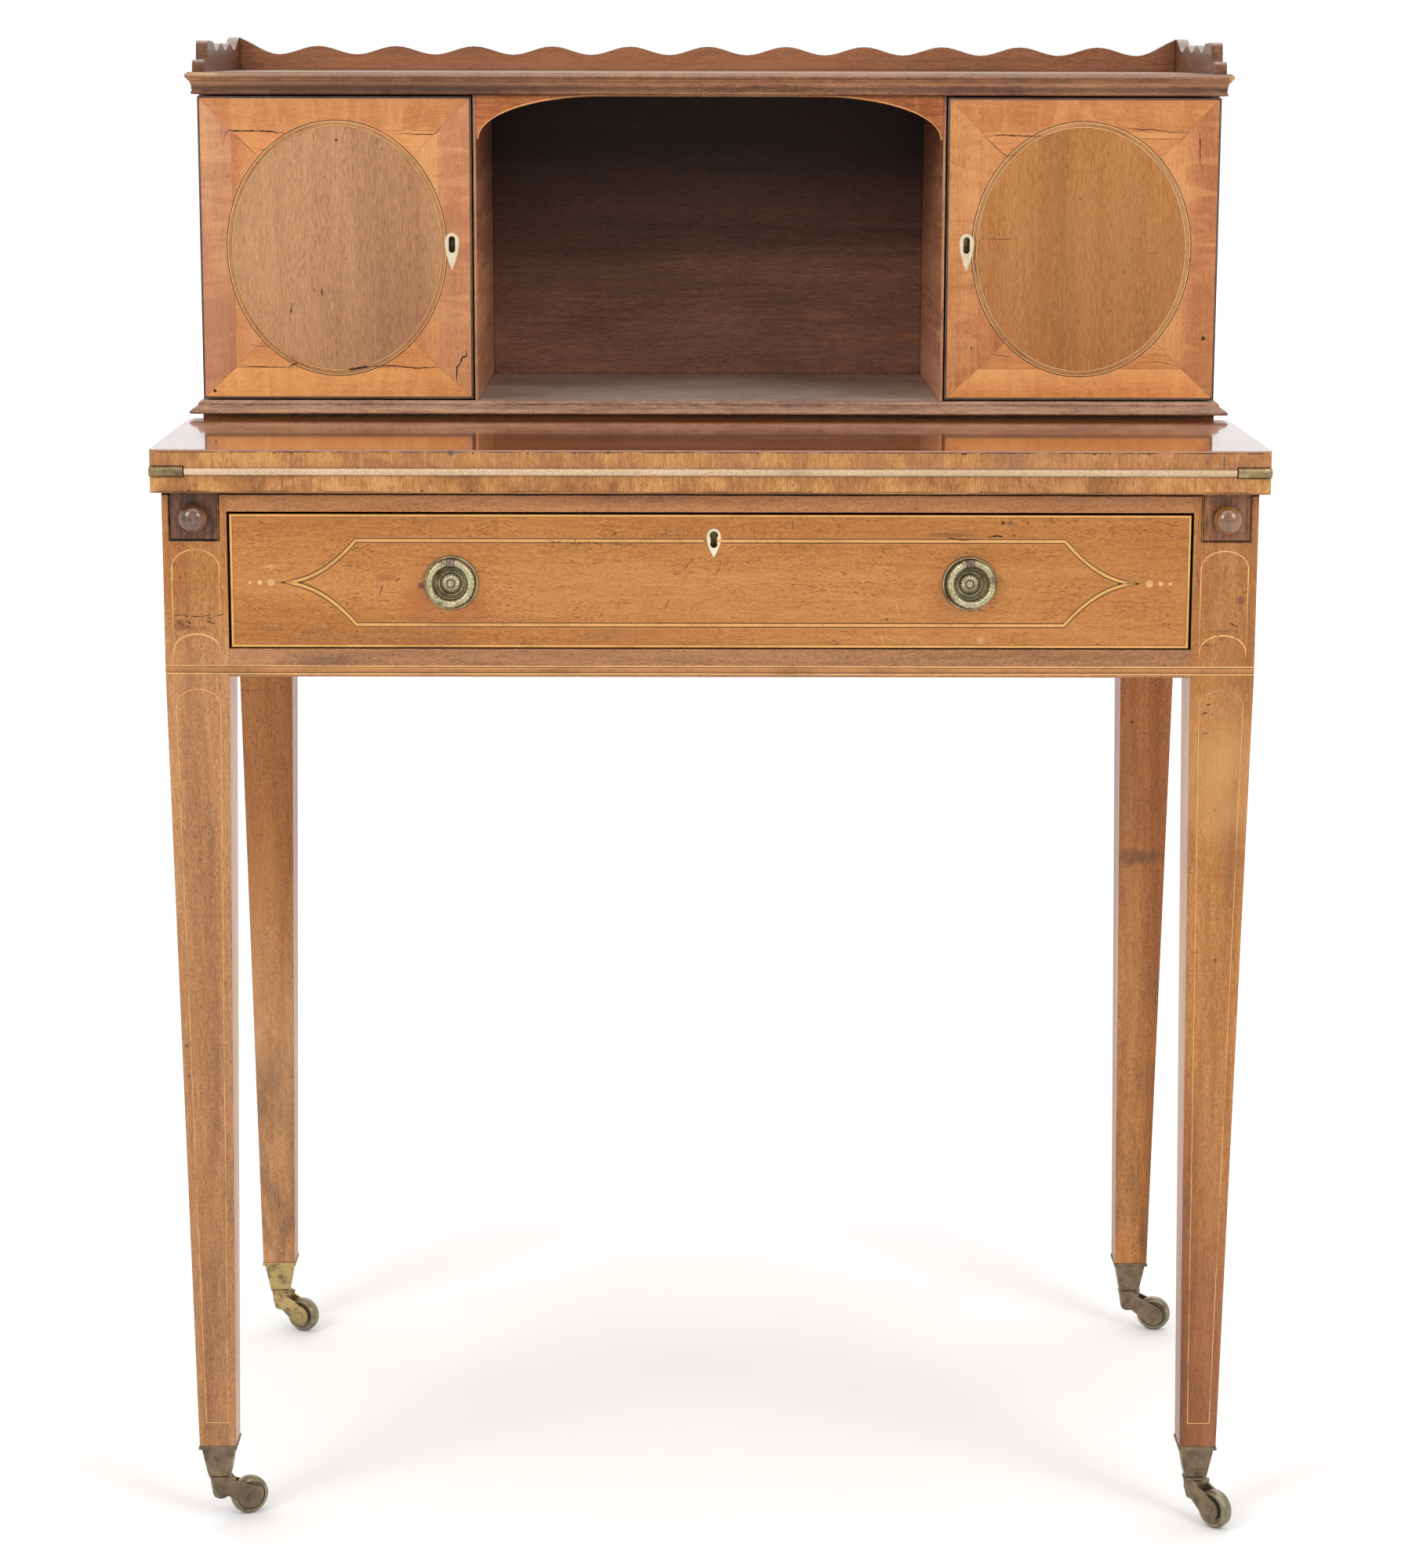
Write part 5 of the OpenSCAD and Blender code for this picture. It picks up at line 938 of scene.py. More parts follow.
for sx, side in ((-1, "left"), (1, "right")):
    body = "door_" + side
    c = board_sets[sx]
    x0, x1 = sx * dcx - dhw, sx * dcx + dhw          # left and right edge as the eye sees them
    z0, z1 = dcz - dhh, dcz + dhh
    e = 1.45
    X0, X1, Z0, Z1 = x0 + e, x1 - e, z0 + e, z1 - e
    x2, x3, z2, z3 = x0 + bw, x1 - bw, z0 + bw - 1.6, z1 - bw
    seed = 3.0 if sx < 0 else 17.0
    # the meeting stile carries the escutcheon: its board has a hole behind the key's way
    inner_is_right = sx < 0
    kx = sx * 188.1
    hole = [(kx - 2.75, 897.2), (kx + 2.75, 897.2), (kx + 2.75, 912.4), (kx - 2.75, 912.4)]
    boards = {
        "top": ([(x2, z3), (x3, z3), (X1, Z1), (X0, Z1)], c["top"], "X"),
        "low": ([(X0, Z0), (X1, Z0), (x3, z2), (x2, z2)], c["low"], "X"),
        "lside": ([(X0, Z0), (x2, z2), (x2, z3), (X0, Z1)], c["side_out"] if sx < 0 else c["side_in"], "Z"),
        "rside": ([(x3, z2), (X1, Z0), (X1, Z1), (x3, z3)], c["side_in"] if sx < 0 else c["side_out"], "Z"),
    }
    for i, (k, (poly, col, grain)) in enumerate(boards.items()):
        s = Shape("door_%s_board_%s" % (side, k), body, board_wood("%s_door_%s_veneer" % (side, k), col, grain, seed + 2.3 * i), "satinwood_veneer")
        if (k == "rside" and sx < 0) or (k == "lside" and sx > 0):
            add_hole_plate(s, poly, hole, D, 0.00004)
        else:
            s.prism(poly, D, 0.00004)
        s.make()
    # spandrels, mitred in the corners and running under the oval
    mz = sx * dcx
    zt, zb_ = z3 - (mz - x2), z2 + (mz - x2)
    span = {
        "top": ([(x2, z3), (mz, zt), (x3, z3)][::-1], "X", c["span"]), "low": ([(x2, z2), (x3, z2), (mz, zb_)], "X", c["span"]),
        "lside": ([(x2, z2), (mz, zb_), (mz, zt), (x2, z3)], "Z", c["span_side"]), "rside": ([(x3, z2), (x3, z3), (mz, zt), (mz, zb_)], "Z", c["span_side"]),
    }
    for i, (k, (poly, grain, col)) in enumerate(span.items()):
        s = Shape("door_%s_spandrel_%s" % (side, k), body, board_wood("%s_door_spandrel_%s" % (side, k), col, grain, seed + 9 + 1.7 * i, ripple=0.2), "satinwood_veneer")
        s.prism(poly, D, 0.000042)
        s.make()
    # the joints of the veneer
    rnd = random.Random(40 + sx)
    j = Shape("door_%s_joints" % side, body, joint_mat, "mahogany")

    def jline(a, b, w, n=18, wander=0.10):
        pts = [(a[0] + (b[0] - a[0]) * i / n + rnd.uniform(-wander, wander), a[1] + (b[1] - a[1]) * i / n + rnd.uniform(-wander, wander)) for i in range(n + 1)]
        j.strip(pts, [w * rnd.uniform(0.35, 1.15) for _ in pts], D, 0.00005)
    for a, b in (((X0, Z0), (x2, z2)), ((X1, Z0), (x3, z2)), ((X0, Z1), (x2, z3)), ((X1, Z1), (x3, z3))):
        jline(a, b, 0.32)
    jline((x2, z2), (x3, z2), 0.28, 40)
    jline((x2, z3), (x3, z3), 0.28, 40)
    jline((x2, z2), (x2, z3), 0.22, 40, 0.06)
    for a, dx, dz in (((x2, z2), 1, 1), ((x3, z2), -1, 1), ((x2, z3), 1, -1), ((x3, z3), -1, -1)):
        jline(a, (a[0] + dx * 25, a[1] + dz * 25), 0.26)
    j.make()
    # edge stringing, dark and worn
    s = Shape("door_%s_edge" % side, body, grey_edge, "mahogany")
    pts = []
    for a, b in (((x0, z0), (x1, z0)), ((x1, z0), (x1, z1)), ((x1, z1), (x0, z1)), ((x0, z1), (x0, z0))):
        pts += [(a[0] + (b[0] - a[0]) * i / 12, a[1] + (b[1] - a[1]) * i / 12) for i in range(12)]
    q = []
    for a, b in pts:
        q.append((min(max(a, x0 + e / 2), x1 - e / 2), min(max(b, z0 + e / 2), z1 - e / 2)))
    s.strip(q, [e * rnd.uniform(0.94, 1.0) for _ in q], D, 0.00005, closed=True)
    s.make()
    # the oval
    cx = sx * ocx
    o = Shape("door_%s_oval" % side, body, wood("%s_oval_wood" % side, c["oval"][0], c["oval"][1], c["oval"][2], "Z", 5.0 + sx, fig=1.1, streak=0.08,
                                                pores=0.60, pore=(210, 2000), patch=0.35, patch_col=c["oval"][3], wear=0.0, dirt=0.1,
                                                scratch=0.3, dents=0.25, rough=0.36, coat=0.16, wave=0.0004, kb=0.85, kf=0.40, grit=1.05, long=2.8), "mahogany")
    o.prism(ell(cx, ocz, orx - 0.3, orz - 0.3, n=120, shut=True), D, 0.00006)
    o.make()
    dk = Shape("door_%s_oval_dark" % side, body, oval_dark, "mahogany")
    dk.strip(ell(cx, ocz, orx - 0.50, orz - 0.50, n=160, shut=True), 0.65, D, 0.00008, closed=True)
    dk.strip(ell(cx, ocz, orx - 4.95, orz - 4.95, n=160, shut=True), 0.2, D, 0.000078, closed=True)
    dk.make()
    lt = Shape("door_%s_oval_light" % side, body, light_fine, "satinwood_veneer")
    lt.strip(ell(cx, ocz, orx - 1.25, orz - 1.25, n=160, shut=True), 0.55, D, 0.000085, closed=True)
    lt.strip(ell(cx, ocz, orx - 4.5, orz - 4.5, n=160, shut=True), 0.50, D, 0.000085, closed=True)
    lt.make()
    bd = Shape("door_%s_oval_band" % side, body, oval_band, "mahogany")
    bd.strip(ell(cx, ocz, orx - 2.9, orz - 2.9, n=160, shut=True), 2.6, D, 0.000075, closed=True)
    bd.make()
    # cracks, plugs and dents, each (points, widths) in the door's own millimetres
    cr = Shape("door_%s_cracks" % side, body, crack_mat, "mahogany")

    def crack(pts, w, taper=True, wander=0.18):
        path = []
        for (ax, az), (bx, bz) in zip(pts, pts[1:]):
            m = max(2, int(math.hypot(bx - ax, bz - az) / 1.6))
            path += [(ax + (bx - ax) * i / m + rnd.uniform(-wander, wander), az + (bz - az) * i / m + rnd.uniform(-wander, wander)) for i in range(m)]
        path.append(pts[-1])
        k = len(path)
        cr.strip(path, [max(0.16, 2.5 * w * rnd.uniform(0.5, 1.2) * (min(1.0, 4.0 * min(i, k - 1 - i) / k + 0.15) if taper else 1.0)) for i in range(k)], D, 0.000095)

    if sx < 0:
        def P(px, py):
            return (-371.8 + (px - 75) / 6.27, 1012.1 - (py - 70) / 6.39)
        crack([P(191, 276), P(198, 248), P(215, 228), P(300, 229), P(400, 231), P(442, 237), P(482, 236)], 0.42)
        crack([P(996, 240), P(1080, 243), P(1150, 243), P(1166, 230), P(1184, 206)], 0.30)
        crack([P(215, 245), P(262, 262), P(300, 300), P(338, 333)], 0.16)
        crack([P(252, 1318), P(350, 1321), P(465, 1322)], 0.22)
        crack([P(468, 1324), P(492, 1309), P(520, 1303)], 0.42)
        crack([P(742, 1334), P(800, 1326), P(842, 1318)], 0.75)
        crack([P(842, 1320), P(950, 1314), P(1050, 1326), P(1156, 1322)], 0.34)
        crack([P(1287, 1236), P(1290, 1268), P(1268, 1276), P(1262, 1302), P(1244, 1322), P(1242, 1390)], 0.50)
        crack([P(300, 1222), P(390, 1224)], 0.14)
        crack([P(330, 310), P(390, 318)], 0.12)
        crack([P(629, 952), P(627, 992)], 0.55)
        crack([P(590, 950), P(596, 978)], 0.30)
        crack([P(487, 1036), P(484, 1076)], 0.45)
        crack([P(740, 812), P(744, 818)], 0.5)
        crack([P(520, 262), P(522, 285)], 0.14)
        cr.disc(*P(705, 270), 1.0, D, 0.000095, wob=0.3)
        cr.disc(*P(127, 1434), 1.25, D, 0.00008, wob=0.05)
        cr.disc(*P(1160, 434), 0.5, D, 0.00008, wob=0.2)
        cr.disc(*P(208, 438), 0.45, D, 0.00008, wob=0.2)
        cr.disc(*P(523, 130), 0.4, D, 0.00008, wob=0.2)
    else:
        def P(px, py):
            return (173.3 + (px - 66) / 6.65, 1012.1 - (py - 72) / 6.72)
        crack([P(240, 258), P(330, 251), P(420, 256), P(540, 257)], 0.34)
        crack([P(241, 258), P(300, 312), P(352, 352), P(400, 351)], 0.20)
        crack([P(920, 214), P(1010, 226), P(1038, 222), P(1098, 229), P(1150, 236), P(1232, 240)], 0.24)
        crack([P(970, 264), P(1080, 270), P(1198, 268)], 0.14)
        crack([P(1283, 230), P(1287, 300), P(1288, 358), P(1290, 390), P(1308, 414)], 0.36)
        crack([P(1172, 300), P(1205, 262), P(1225, 245)], 0.14)
        crack([P(300, 1320), P(400, 1335)], 0.12)
        crack([P(1060, 1318), P(1150, 1325)], 0.12)
        crack([P(1000, 1360), P(1100, 1356), P(1192, 1366)], 0.14)
        crack([P(200, 720), P(210, 770), P(203, 860), P(222, 960)], 0.28)
        crack([P(238, 752), P(330, 757), P(410, 752)], 0.14)
        crack([P(1050, 826), P(1100, 816)], 0.14)
        crack([P(1250, 848), P(1256, 866)], 0.4)
        crack([P(190, 1284), P(198, 1296)], 0.45)
        cr.disc(*P(1328, 1240), 1.45, D, 0.00007, wob=0.25)
        cr.disc(*P(1262, 878), 0.45, D, 0.00008, wob=0.2)
        cr.disc(*P(845, 338), 0.45, D, 0.00008, wob=0.2)
        cr.disc(*P(716, 560), 0.4, D, 0.00008, wob=0.2)
    cr.make()

# ---------------------------------------------------------------- niche: lines of the arch and of the facings

A = front(-4.3)
arch_line = Shape("apron_line", "stand", box_fine, "satinwood_veneer")
apts = []
for i in range(25):
    a = math.radians(90 * i / 24)
    apts.append((-(78 + 90.9 * math.cos(a)) + 0.5 * math.cos(a), 981.3 + 31 * math.sin(a) + 0.9 * math.sin(a) + 0.5 * math.cos(a)))
apts += [(-a, b) for a, b in reversed(apts)]
arch_line.strip(apts, 0.6, A, 0.00006)
arch_line.make()
facing = Shape("facing_lines", "stand", line_wood("facing_line", (0.46, 0.215, 0.085), 41.0, dirt=0.6, vary=0.6), "satinwood_veneer")
for sx in (-1, 1):
    facing.strip([(sx * 170.75, 792.2 + 188.6 * i / 12) for i in range(13)], 1.3, A, 0.00006)
facing.make()

# ---------------------------------------------------------------- handles: stamped plates and chased rings


def arc_h(r, c, h0, rad, a0, a1):
    """Height of a round bead of the plate's profile at radius r."""
    d = abs(r - c)
    return h0 + math.sqrt(max(0.0, rad * rad - d * d)) if d < rad else 0.0


prof = [(0.0, 5.7), (1.2, 5.7), (1.9, 5.45), (2.3, 4.9), (2.6, 3.85), (3.9, 3.9), (5.6, 3.1), (7.0, 1.6), (7.5, 1.25), (7.75, 2.1), (8.2, 2.4), (8.65, 2.1),
        (8.9, 1.5), (9.6, 1.3), (10.0, 2.1), (10.45, 2.5), (10.9, 2.6), (11.35, 2.5), (11.8, 2.1), (12.6, 1.2), (13.6, 0.85), (16.2, 0.92), (16.75, 1.25),
        (17.0, 1.65), (17.35, 1.85), (17.7, 1.9), (18.1, 1.82), (18.45, 1.5), (18.68, 1.0), (18.72, 0.6), (18.66, 0.02)]


def pheight(r):
    for (r0, h0), (r1, h1) in zip(prof, prof[1:]):
        if r0 <= r <= r1 and r1 > r0:
            return h0 + (h1 - h0) * (r - r0) / (r1 - r0)
    return 0.02


def relief(r, th):
    """Stamped ornament on the plate, never below the plain profile."""
    h = 0.05
    if 16.7 < r < 18.7:
        g = 0.5 + 0.5 * math.cos(72 * th)
        h += 0.50 * g ** 0.8 * math.sin(math.pi * (r - 16.7) / 2.0)
    if 12.7 < r < 16.4:
        # dull ground with faint ripples
        h += 0.05 * (0.5 + 0.5 * math.sin(40 * th + 3 * r))
    if 9.75 < r < 12.0:
        g = abs(math.cos(26 * th))
        h += 0.95 * g ** 0.7 * max(0.0, 1 - ((r - 10.9) / 1.1) ** 2)
    if 2.75 < r < 7.3:
        u = (r - 2.75) / 4.55
        half = math.pi / 16
        d = (th % (2 * half)) - half                  # place across one petal
        w = half * (0.34 + 0.44 * math.sin(math.pi * min(1.0, u * 0.78 + 0.10)))
        q = abs(d) / max(w, 1e-3)
        if q < 1.0 and u < 0.99:
            lobe = (1 - q * q) ** 0.6
            vein = 1 - 0.35 * max(0.0, 1 - abs(d) / 0.028)
            top = 4.75 - 0.30 * (r - 2.75) - 0.05 * (r - 2.75) ** 2
            h += max(0.25, top - pheight(r)) * lobe * vein * (1.0 if u < 0.88 else max(0.0, (0.99 - u) / 0.11))
    if r < 2.3:
        h += 0.04 * (0.5 + 0.5 * math.cos(9 * th)) * (r / 2.3)
    return h


def rim_r(r, th):
    return r + (0.10 * math.cos(72 * th) if r > 18.4 else 0.0)


RS = sorted(set([0.6, 1.2, 1.6, 1.9, 2.1, 2.3, 2.45, 2.6, 2.8] + [2.8 + 0.22 * i for i in range(1, 21)] + [7.3, 7.5, 7.6, 7.75, 7.95, 8.2, 8.45, 8.65, 8.8, 8.95, 9.3, 9.6, 9.75] +
                [9.75 + 0.18 * i for i in range(1, 13)] + [12.2, 12.6, 13.0, 13.6, 14.4, 15.3, 16.2, 16.5, 16.75, 16.95, 17.15, 17.35, 17.55, 17.75, 17.95, 18.15, 18.3, 18.45, 18.58, 18.68]))
NT = 792
for sx, side in ((-1, "left"), (1, "right")):
    cx, cz = sx * 177.5, 687.3
    rot = 0.07 if sx < 0 else -0.11
    vs = [F(cx, cz, (pheight(0) + 0.05) * MM)]
    for r in RS:
        for k in range(NT):
            th = 2 * math.pi * k / NT
            rr = rim_r(r, th)
            vs.append(F(cx + rr * math.cos(th + rot), cz + rr * math.sin(th + rot), (pheight(min(r, 18.7)) + relief(r, th)) * MM))
    # the rim goes down into the wood, so that the plate closes
    for k in range(NT):
        th = 2 * math.pi * k / NT
        rr = 18.74 + 0.10 * math.cos(72 * th)
        vs.append(F(cx + rr * math.cos(th + rot), cz + rr * math.sin(th + rot), -0.0001))
    back_c = len(vs)
    vs.append(F(cx, cz, -0.0001))
    fs = [(0, 1 + k, 1 + (k + 1) % NT) for k in range(NT)]
    rings_n = len(RS) + 1
    for j in range(rings_n - 1):
        a, b = 1 + j * NT, 1 + (j + 1) * NT
        fs += [(a + k, b + k, b + (k + 1) % NT, a + (k + 1) % NT) for k in range(NT)]
    a = 1 + (rings_n - 1) * NT
    fs += [(a + k, back_c, a + (k + 1) % NT) for k in range(NT)]
    mesh_object("handle_rosette_" + side, vs, fs, plate_brass, "drawer")
    # worn square head of the post
    px, pz, hw2 = cx, 701.8, 2.4
    o2 = []
    for dy, w in ((3.0, hw2), (6.9, hw2), (7.6, hw2 - 0.25), (7.95, hw2 - 0.95)):
        o2.append([(px - w, pz - w), (px + w, pz - w), (px + w, pz + w), (px - w, pz + w)])
    vs, fs = [], []
    for (dy, w), ring4 in zip(((3.0, 0), (6.9, 0), (7.6, 0), (7.95, 0)), o2):
        vs += [F(a, b, dy * MM) for a, b in ring4]
    for j in range(3):
        fs += [(4 * j + i, 4 * j + (i + 1) % 4, 4 * j + 4 + (i + 1) % 4, 4 * j + 4 + i) for i in range(4)]
    fs += [(3, 2, 1, 0), (12, 13, 14, 15)]
    mesh_object("handle_post_" + side, vs, fs, post_mat, "drawer", smooth=False)

for sx, side, tilt in ((-1, "left", 2.0), (1, "right", -5.0)):
    px, pz, py = sx * 177.5, 701.8, -226.4
    t_ = math.radians(tilt)
    R, NA, NB = 14.3, (900), (36)
    vs, fs = [], []
    a0 = math.radians(11.2)
    for i in range(NA + 1):
        al = a0 + (2 * math.pi - 2 * a0) * i / NA       # 0 at the top, going round
        s_ = al * R
        # plain collars divide the laurel
        ph = (al / (2 * math.pi)) * 8.0
        dcol = abs(ph - round(ph))
        collar = dcol < 0.055
        for j in range(NB):
            ps = 2 * math.pi * j / NB
            fold = abs(((ps + math.pi) % (2 * math.pi)) - math.pi) / math.pi      # 0 outside, 1 inside of the ring
            if collar:
                g = 0.42
            else:
                face = abs(math.sin(ps))                                          # 1 on the faces the eye sees
                hand = 1 if math.floor(ph + 0.5) % 2 else -1
                v = hand * (s_ / 3.1) - abs(math.cos(ps)) * 0.62
                v2 = v - math.floor(v)
                g = 0.92 * v2 ** 0.7 * (1.0 if v2 < 0.86 else (1 - v2) / 0.14)
                g *= 0.45 + 0.55 * abs(math.sin(1.5 * ps + 0.6 * math.floor(v)))
                g *= min(1.0, (dcol - 0.055) / 0.03)
                g = max(0.0, g)
            end = min(1.0, min(i, NA - i) / 6.0)
            ra = 2.08 + (0.03 + g * 0.62) * end
            lr = R + ra * 1.07 * math.cos(ps)
            ly = ra * math.sin(ps)
            lx, lz = lr * math.sin(al), lr * math.cos(al)
            # the ring's centre hangs below the pivot, tilted
            gx_, gz_ = lx, lz - R
            x_ = gx_ * math.cos(t_) + gz_ * math.sin(t_)
            z_ = -gx_ * math.sin(t_) + gz_ * math.cos(t_)
            vs.append(Vector(((px + x_) * MM, (py + ly) * MM, (pz + z_) * MM)))
    for i in range(NA):
        for j in range(NB):
            a, b = i * NB + j, i * NB + (j + 1) % NB
            fs.append((a, b, b + NB, a + NB))
    fs.append(tuple(range(NB - 1, -1, -1)))
    fs.append(tuple(NA * NB + j for j in range(NB)))
    mesh_object("ring_laurel_" + side, vs, fs, ring_brass, "ring_" + side)

# ---------------------------------------------------------------- knobs of the lopers, turned smooth

knob_prof = [(6.55, -0.2), (6.55, 0.15), (6.30, 0.95), (5.55, 1.50), (4.78, 2.10), (4.50, 2.80), (4.45, 3.60), (4.75, 4.30), (5.35, 4.95), (6.4, 5.45), (7.5, 5.85)]
knob_prof += [(7.6 + 2.2 * math.cos(math.radians(a)), 8.1 + 2.2 * math.sin(math.radians(a))) for a in range(-70, 41, 10)]
knob_prof += [(8.95, 10.35), (8.35, 11.45), (7.45, 12.55), (6.38, 13.50), (5.05, 14.28), (3.65, 14.80), (1.9, 15.15), (0.7, 15.30)]
for sx, side in ((-1, "left"), (1, "right")):
    NK = 96
    vs, fs = [], []
    for r, h in knob_prof:
        vs += [F(sx * 352.6 + r * math.cos(2 * math.pi * k / NK), 732.0 + r * math.sin(2 * math.pi * k / NK), h * MM) for k in range(NK)]
    for j in range(len(knob_prof) - 1):
        fs += [(j * NK + k, j * NK + (k + 1) % NK, (j + 1) * NK + (k + 1) % NK, (j + 1) * NK + k) for k in range(NK)]
    vs += [F(sx * 352.6, 732.0, -0.2 * MM), F(sx * 352.6, 732.0, 15.32 * MM)]
    c0, c1, last = len(vs) - 2, len(vs) - 1, (len(knob_prof) - 1) * NK
    fs += [(c0, (k + 1) % NK, k) for k in range(NK)] + [(c1, last + k, last + (k + 1) % NK) for k in range(NK)]
    # the left knob has a far darker wood than the right: painted shade, as its loper sits further in; the lighter spot
    # high on each dome is a painted highlight
    kmid = (0.092, 0.026, 0.006) if sx < 0 else (0.230, 0.088, 0.020)
    kw = wood("knob_wood_" + side, kmid, shade(kmid, 0.35), blendc(kmid, (0.42, 0.22, 0.12), 0.45), "Z", 3.0 + 5 * sx, fig=3.0, streak=0.25, kb=1.6, kf=0.8,
              pores=0.5, pore=(500, 2400), patch=0.4, rough=0.30, coat=1.0, coat_rough=0.10, wear=0.3, dirt=0.9, scratch=0.5, dents=0.5, spec=0.28, bump=0.10,
              marks=[((sx * 0.3526 + 0.002, -0.236, 0.7365), 0.0040, blendc(kmid, (0.46, 0.22, 0.10), 0.30), 0.4, 0.9, (1, 0.5, 1), 0.8)])
    kb_ = next(n_ for n_ in kw.node_tree.nodes if n_.bl_idname == "ShaderNodeBsdfPrincipled")
    kb_.inputs["Coat IOR"].default_value = 1.72
    mesh_object("loper_knob_" + side, vs, fs, kw, "loper_" + side)

# ---------------------------------------------------------------- lining: one cloth over bed and leaf, with its worn fold in front


def lining_path():
    """Centre line of the cloth in (y, z) and the part of the fold's fuzz at each point."""
    bed_y = [-30.1, -70.0, -120.0, -170.0, -210.0, -228.0, -231.4]
    pts = [(y, 764.25, 0.0) for y in bed_y]
    nose = [(-232.5, 764.2, 0.2), (-233.25, 763.75, 0.5), (-233.72, 763.15, 0.8), (-234.25, 762.85, 1.0), (-234.75, 763.05, 1.0), (-235.05, 763.5, 1.0),
            (-235.2, 764.0, 1.0), (-235.28, 764.42, 1.0), (-235.3, 764.825, 1.0)]
    pts += nose
    pts += [(y, 1529.65 - z, w) for y, z, w in reversed(nose[:-1])]
    pts += [(y, 765.40, 0.0) for y in reversed(bed_y)]
    # round the path
    for _ in range(2):
        new = [pts[0]]
        for i in range(1, len(pts) - 1):
            a, b, c = pts[i - 1], pts[i], pts[i + 1]
            if b[2] > 0:
                new.append(tuple(0.2 * a[k] + 0.6 * b[k] + 0.2 * c[k] for k in range(3)))
            else:
                new.append(b)
        new.append(pts[-1])
        pts = new
    return pts


LP = lining_path()
half_t = 0.415
NXL = 1180
hwid = 356.9
rows = []
for i, (y, z, w) in enumerate(LP):
    a, b = LP[max(0, i - 1)], LP[min(len(LP) - 1, i + 1)]
    d = Vector((b[0] - a[0], b[1] - a[1])).normalized()
    n = Vector((d.y, -d.x))            # away from the inside of the fold
    rows.append((y, z, w, n))
vs, fs = [], []
for side_k in (0, 1):
    for (y, z, w, n) in rows:
        s_ = half_t if side_k == 0 else -half_t
        if w > 0:
            s_ *= 1.0
        for i in range(NXL + 1):
            x = -hwid + 2 * hwid * i / NXL
            yy, zz, xx = y + n.x * s_, z + n.y * s_, x
            if w > 0 and 0 < i < NXL:
                v = Vector((x * 0.9, yy * 1.6, zz * 1.6))
                f1 = mn.noise(v) * 0.75 + mn.noise(v * 2.3) * 0.55 + 0.12
                lo = mn.noise(Vector((x * 0.07, 3.1, 0))) * 0.35
                if side_k == 0:
                    yy += n.x * (f1 + lo * 0.5) * w
                    zz += n.y * (f1 + lo) * w
                else:
                    yy += n.x * lo * 0.3 * w
            vs.append(Vector((xx * MM, min(yy, -30.1) * MM if w == 0 else yy * MM, zz * MM)))
NR2, W1 = len(rows), NXL + 1


def vid(k, r, i):
    return k * NR2 * W1 + r * W1 + i


for r in range(NR2 - 1):
    for i in range(NXL):
        fs.append((vid(0, r, i), vid(0, r, i + 1), vid(0, r + 1, i + 1), vid(0, r + 1, i)))
        fs.append((vid(1, r, i), vid(1, r + 1, i), vid(1, r + 1, i + 1), vid(1, r, i + 1)))
for r in (0, NR2 - 1):
    for i in range(NXL):
        q = (vid(0, r, i), vid(1, r, i), vid(1, r, i + 1), vid(0, r, i + 1))
        fs.append(q if r == 0 else q[::-1])
for i in (0, NXL):
    for r in range(NR2 - 1):
        q = (vid(0, r, i), vid(0, r + 1, i), vid(1, r + 1, i), vid(1, r, i))
        fs.append(q if i == 0 else q[::-1])
me = bpy.data.meshes.new("writing_lining")
me.from_pydata([tuple(v) for v in vs], [], fs)
bm = bmesh.new()
bm.from_mesh(me)
bmesh.ops.recalc_face_normals(bm, faces=bm.faces)
bm.to_mesh(me)
bm.free()
me.polygons.foreach_set("use_smooth", [True] * len(me.polygons))
lining = bpy.data.objects.new("writing_lining", me)
me.materials.append(baize)
scene.collection.objects.link(lining)
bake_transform(lining)
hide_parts("bed_lining", "leaf_lining", "joint_lining")

# ---------------------------------------------------------------- floor, light, camera

floor_me = bpy.data.meshes.new("floor")
floor_me.from_pydata([(-14, -9, 0), (14, -9, 0), (14, 14, 0), (-14, 14, 0)], [], [(0, 1, 2, 3)])
floor = bpy.data.objects.new("floor", floor_me)
scene.collection.objects.link(floor)
ft = Tree("pale_floor")
fn = ft.noise(ft.obj, 3.0, 3, 0.5)
ft.put(ft.bsdf.inputs["Base Color"], ft.mix(ft.rng(fn, 0.3, 0.7), (0.875, 0.875, 0.875), (0.895, 0.895, 0.895)))
ft.bsdf.inputs["Roughness"].default_value = 0.85
ft.bsdf.inputs["Specular IOR Level"].default_value = 0.1
floor_me.materials.append(ft.mat)

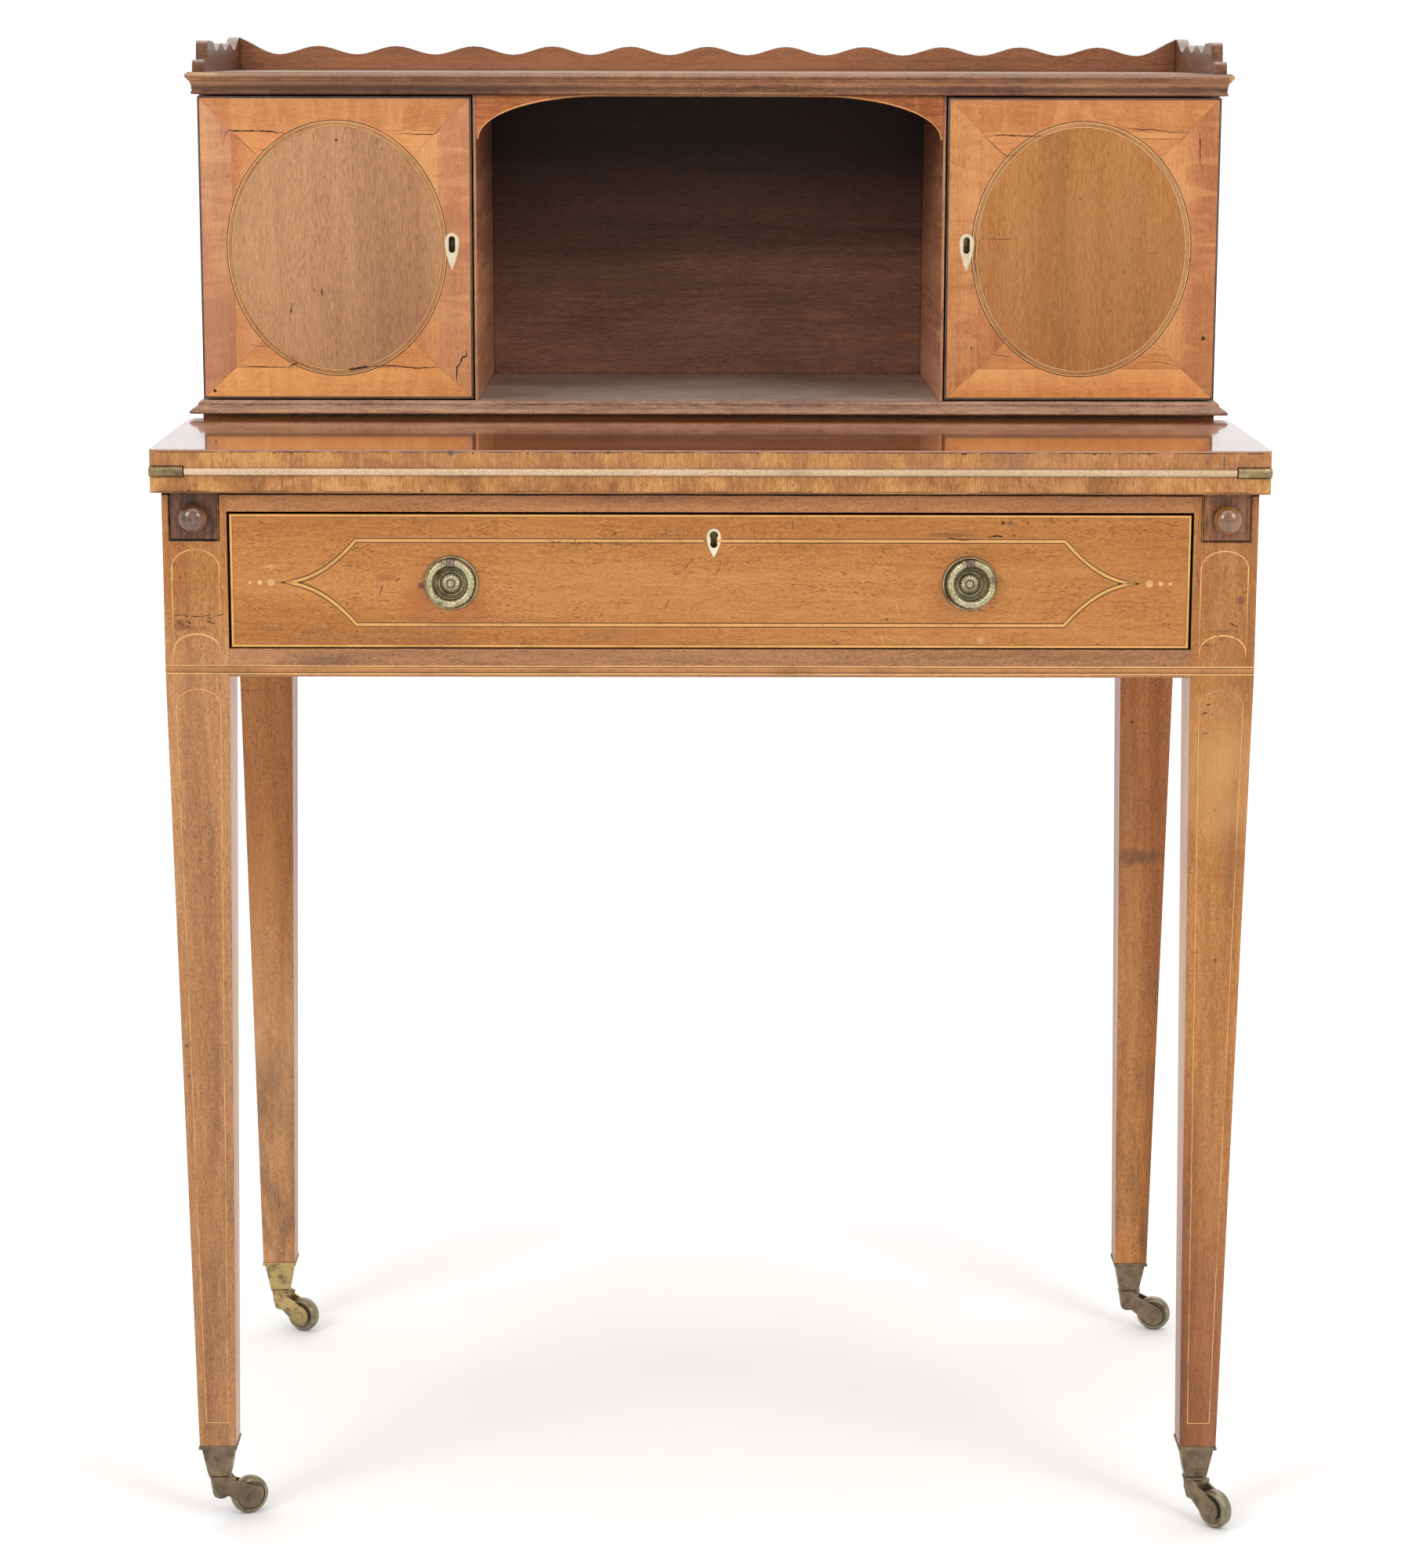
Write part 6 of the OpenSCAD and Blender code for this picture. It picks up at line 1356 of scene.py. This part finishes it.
world = bpy.data.worlds.new("studio")
scene.world = world
world.use_nodes = True
bg = world.node_tree.nodes["Background"]
bg.inputs[0].default_value = (1.0, 1.0, 1.0, 1)
wtc = world.node_tree.nodes.new("ShaderNodeTexCoord")
wsep = world.node_tree.nodes.new("ShaderNodeSeparateXYZ")
wmap = world.node_tree.nodes.new("ShaderNodeMapRange")
wmap.interpolation_type = "SMOOTHSTEP"
for k_, v_ in (("From Min", -0.45), ("From Max", 0.25), ("To Min", 0.74), ("To Max", 1.0)):
    wmap.inputs[k_].default_value = v_
world.node_tree.links.new(wtc.outputs["Generated"], wsep.inputs[0])
world.node_tree.links.new(wsep.outputs[1], wmap.inputs["Value"])
world.node_tree.links.new(wmap.outputs[0], bg.inputs[1])


def softbox(name, loc, target, size, power):
    li = bpy.data.lights.new(name, "AREA")
    li.shape = "RECTANGLE"
    li.size, li.size_y = size
    li.energy = power
    o = bpy.data.objects.new(name, li)
    o.location = loc
    o.rotation_euler = (Vector(target) - Vector(loc)).to_track_quat("-Z", "Y").to_euler()
    scene.collection.objects.link(o)
    return o


softbox("key_left", (-2.2, -2.5, 2.5), (0, 0, 0.6), (1.3, 1.7), 36)
softbox("key_right", (2.2, -2.5, 2.5), (0, 0, 0.6), (1.3, 1.7), 33)
softbox("top_soft", (0, -0.3, 3.2), (0, 0, 0.7), (3.0, 2.4), 26)
wash = softbox("floor_wash", (0, 9.0, 4.5), (0, 9.0, 0), (14, 8), 330)

cam_data = bpy.data.cameras.new("camera")
cam = bpy.data.objects.new("camera", cam_data)
scene.collection.objects.link(cam)
scene.camera = cam
yaw, pitch, roll = (math.radians(a) for a in (0.25, 11.02, 0.13))
fwd = Vector((math.sin(yaw) * math.cos(pitch), math.cos(yaw) * math.cos(pitch), -math.sin(pitch)))
right = Vector((math.cos(yaw), -math.sin(yaw), 0))
up = right.cross(fwd)
r_ = right * math.cos(roll) + up * math.sin(roll)
u_ = -right * math.sin(roll) + up * math.cos(roll)
cam.matrix_world = Matrix(((r_.x, u_.x, -fwd.x, -0.0170), (r_.y, u_.y, -fwd.y, -2.7442), (r_.z, u_.z, -fwd.z, 1.0495), (0, 0, 0, 1)))
cam_data.sensor_width = 36
cam_data.lens = 4740 / 2000 * 36
cam_data.shift_x = 0.00655
cam_data.shift_y = -0.01005
cam_data.clip_start, cam_data.clip_end = 0.05, 60
scene.view_settings.view_transform = "Standard"
scene.view_settings.look = "None"
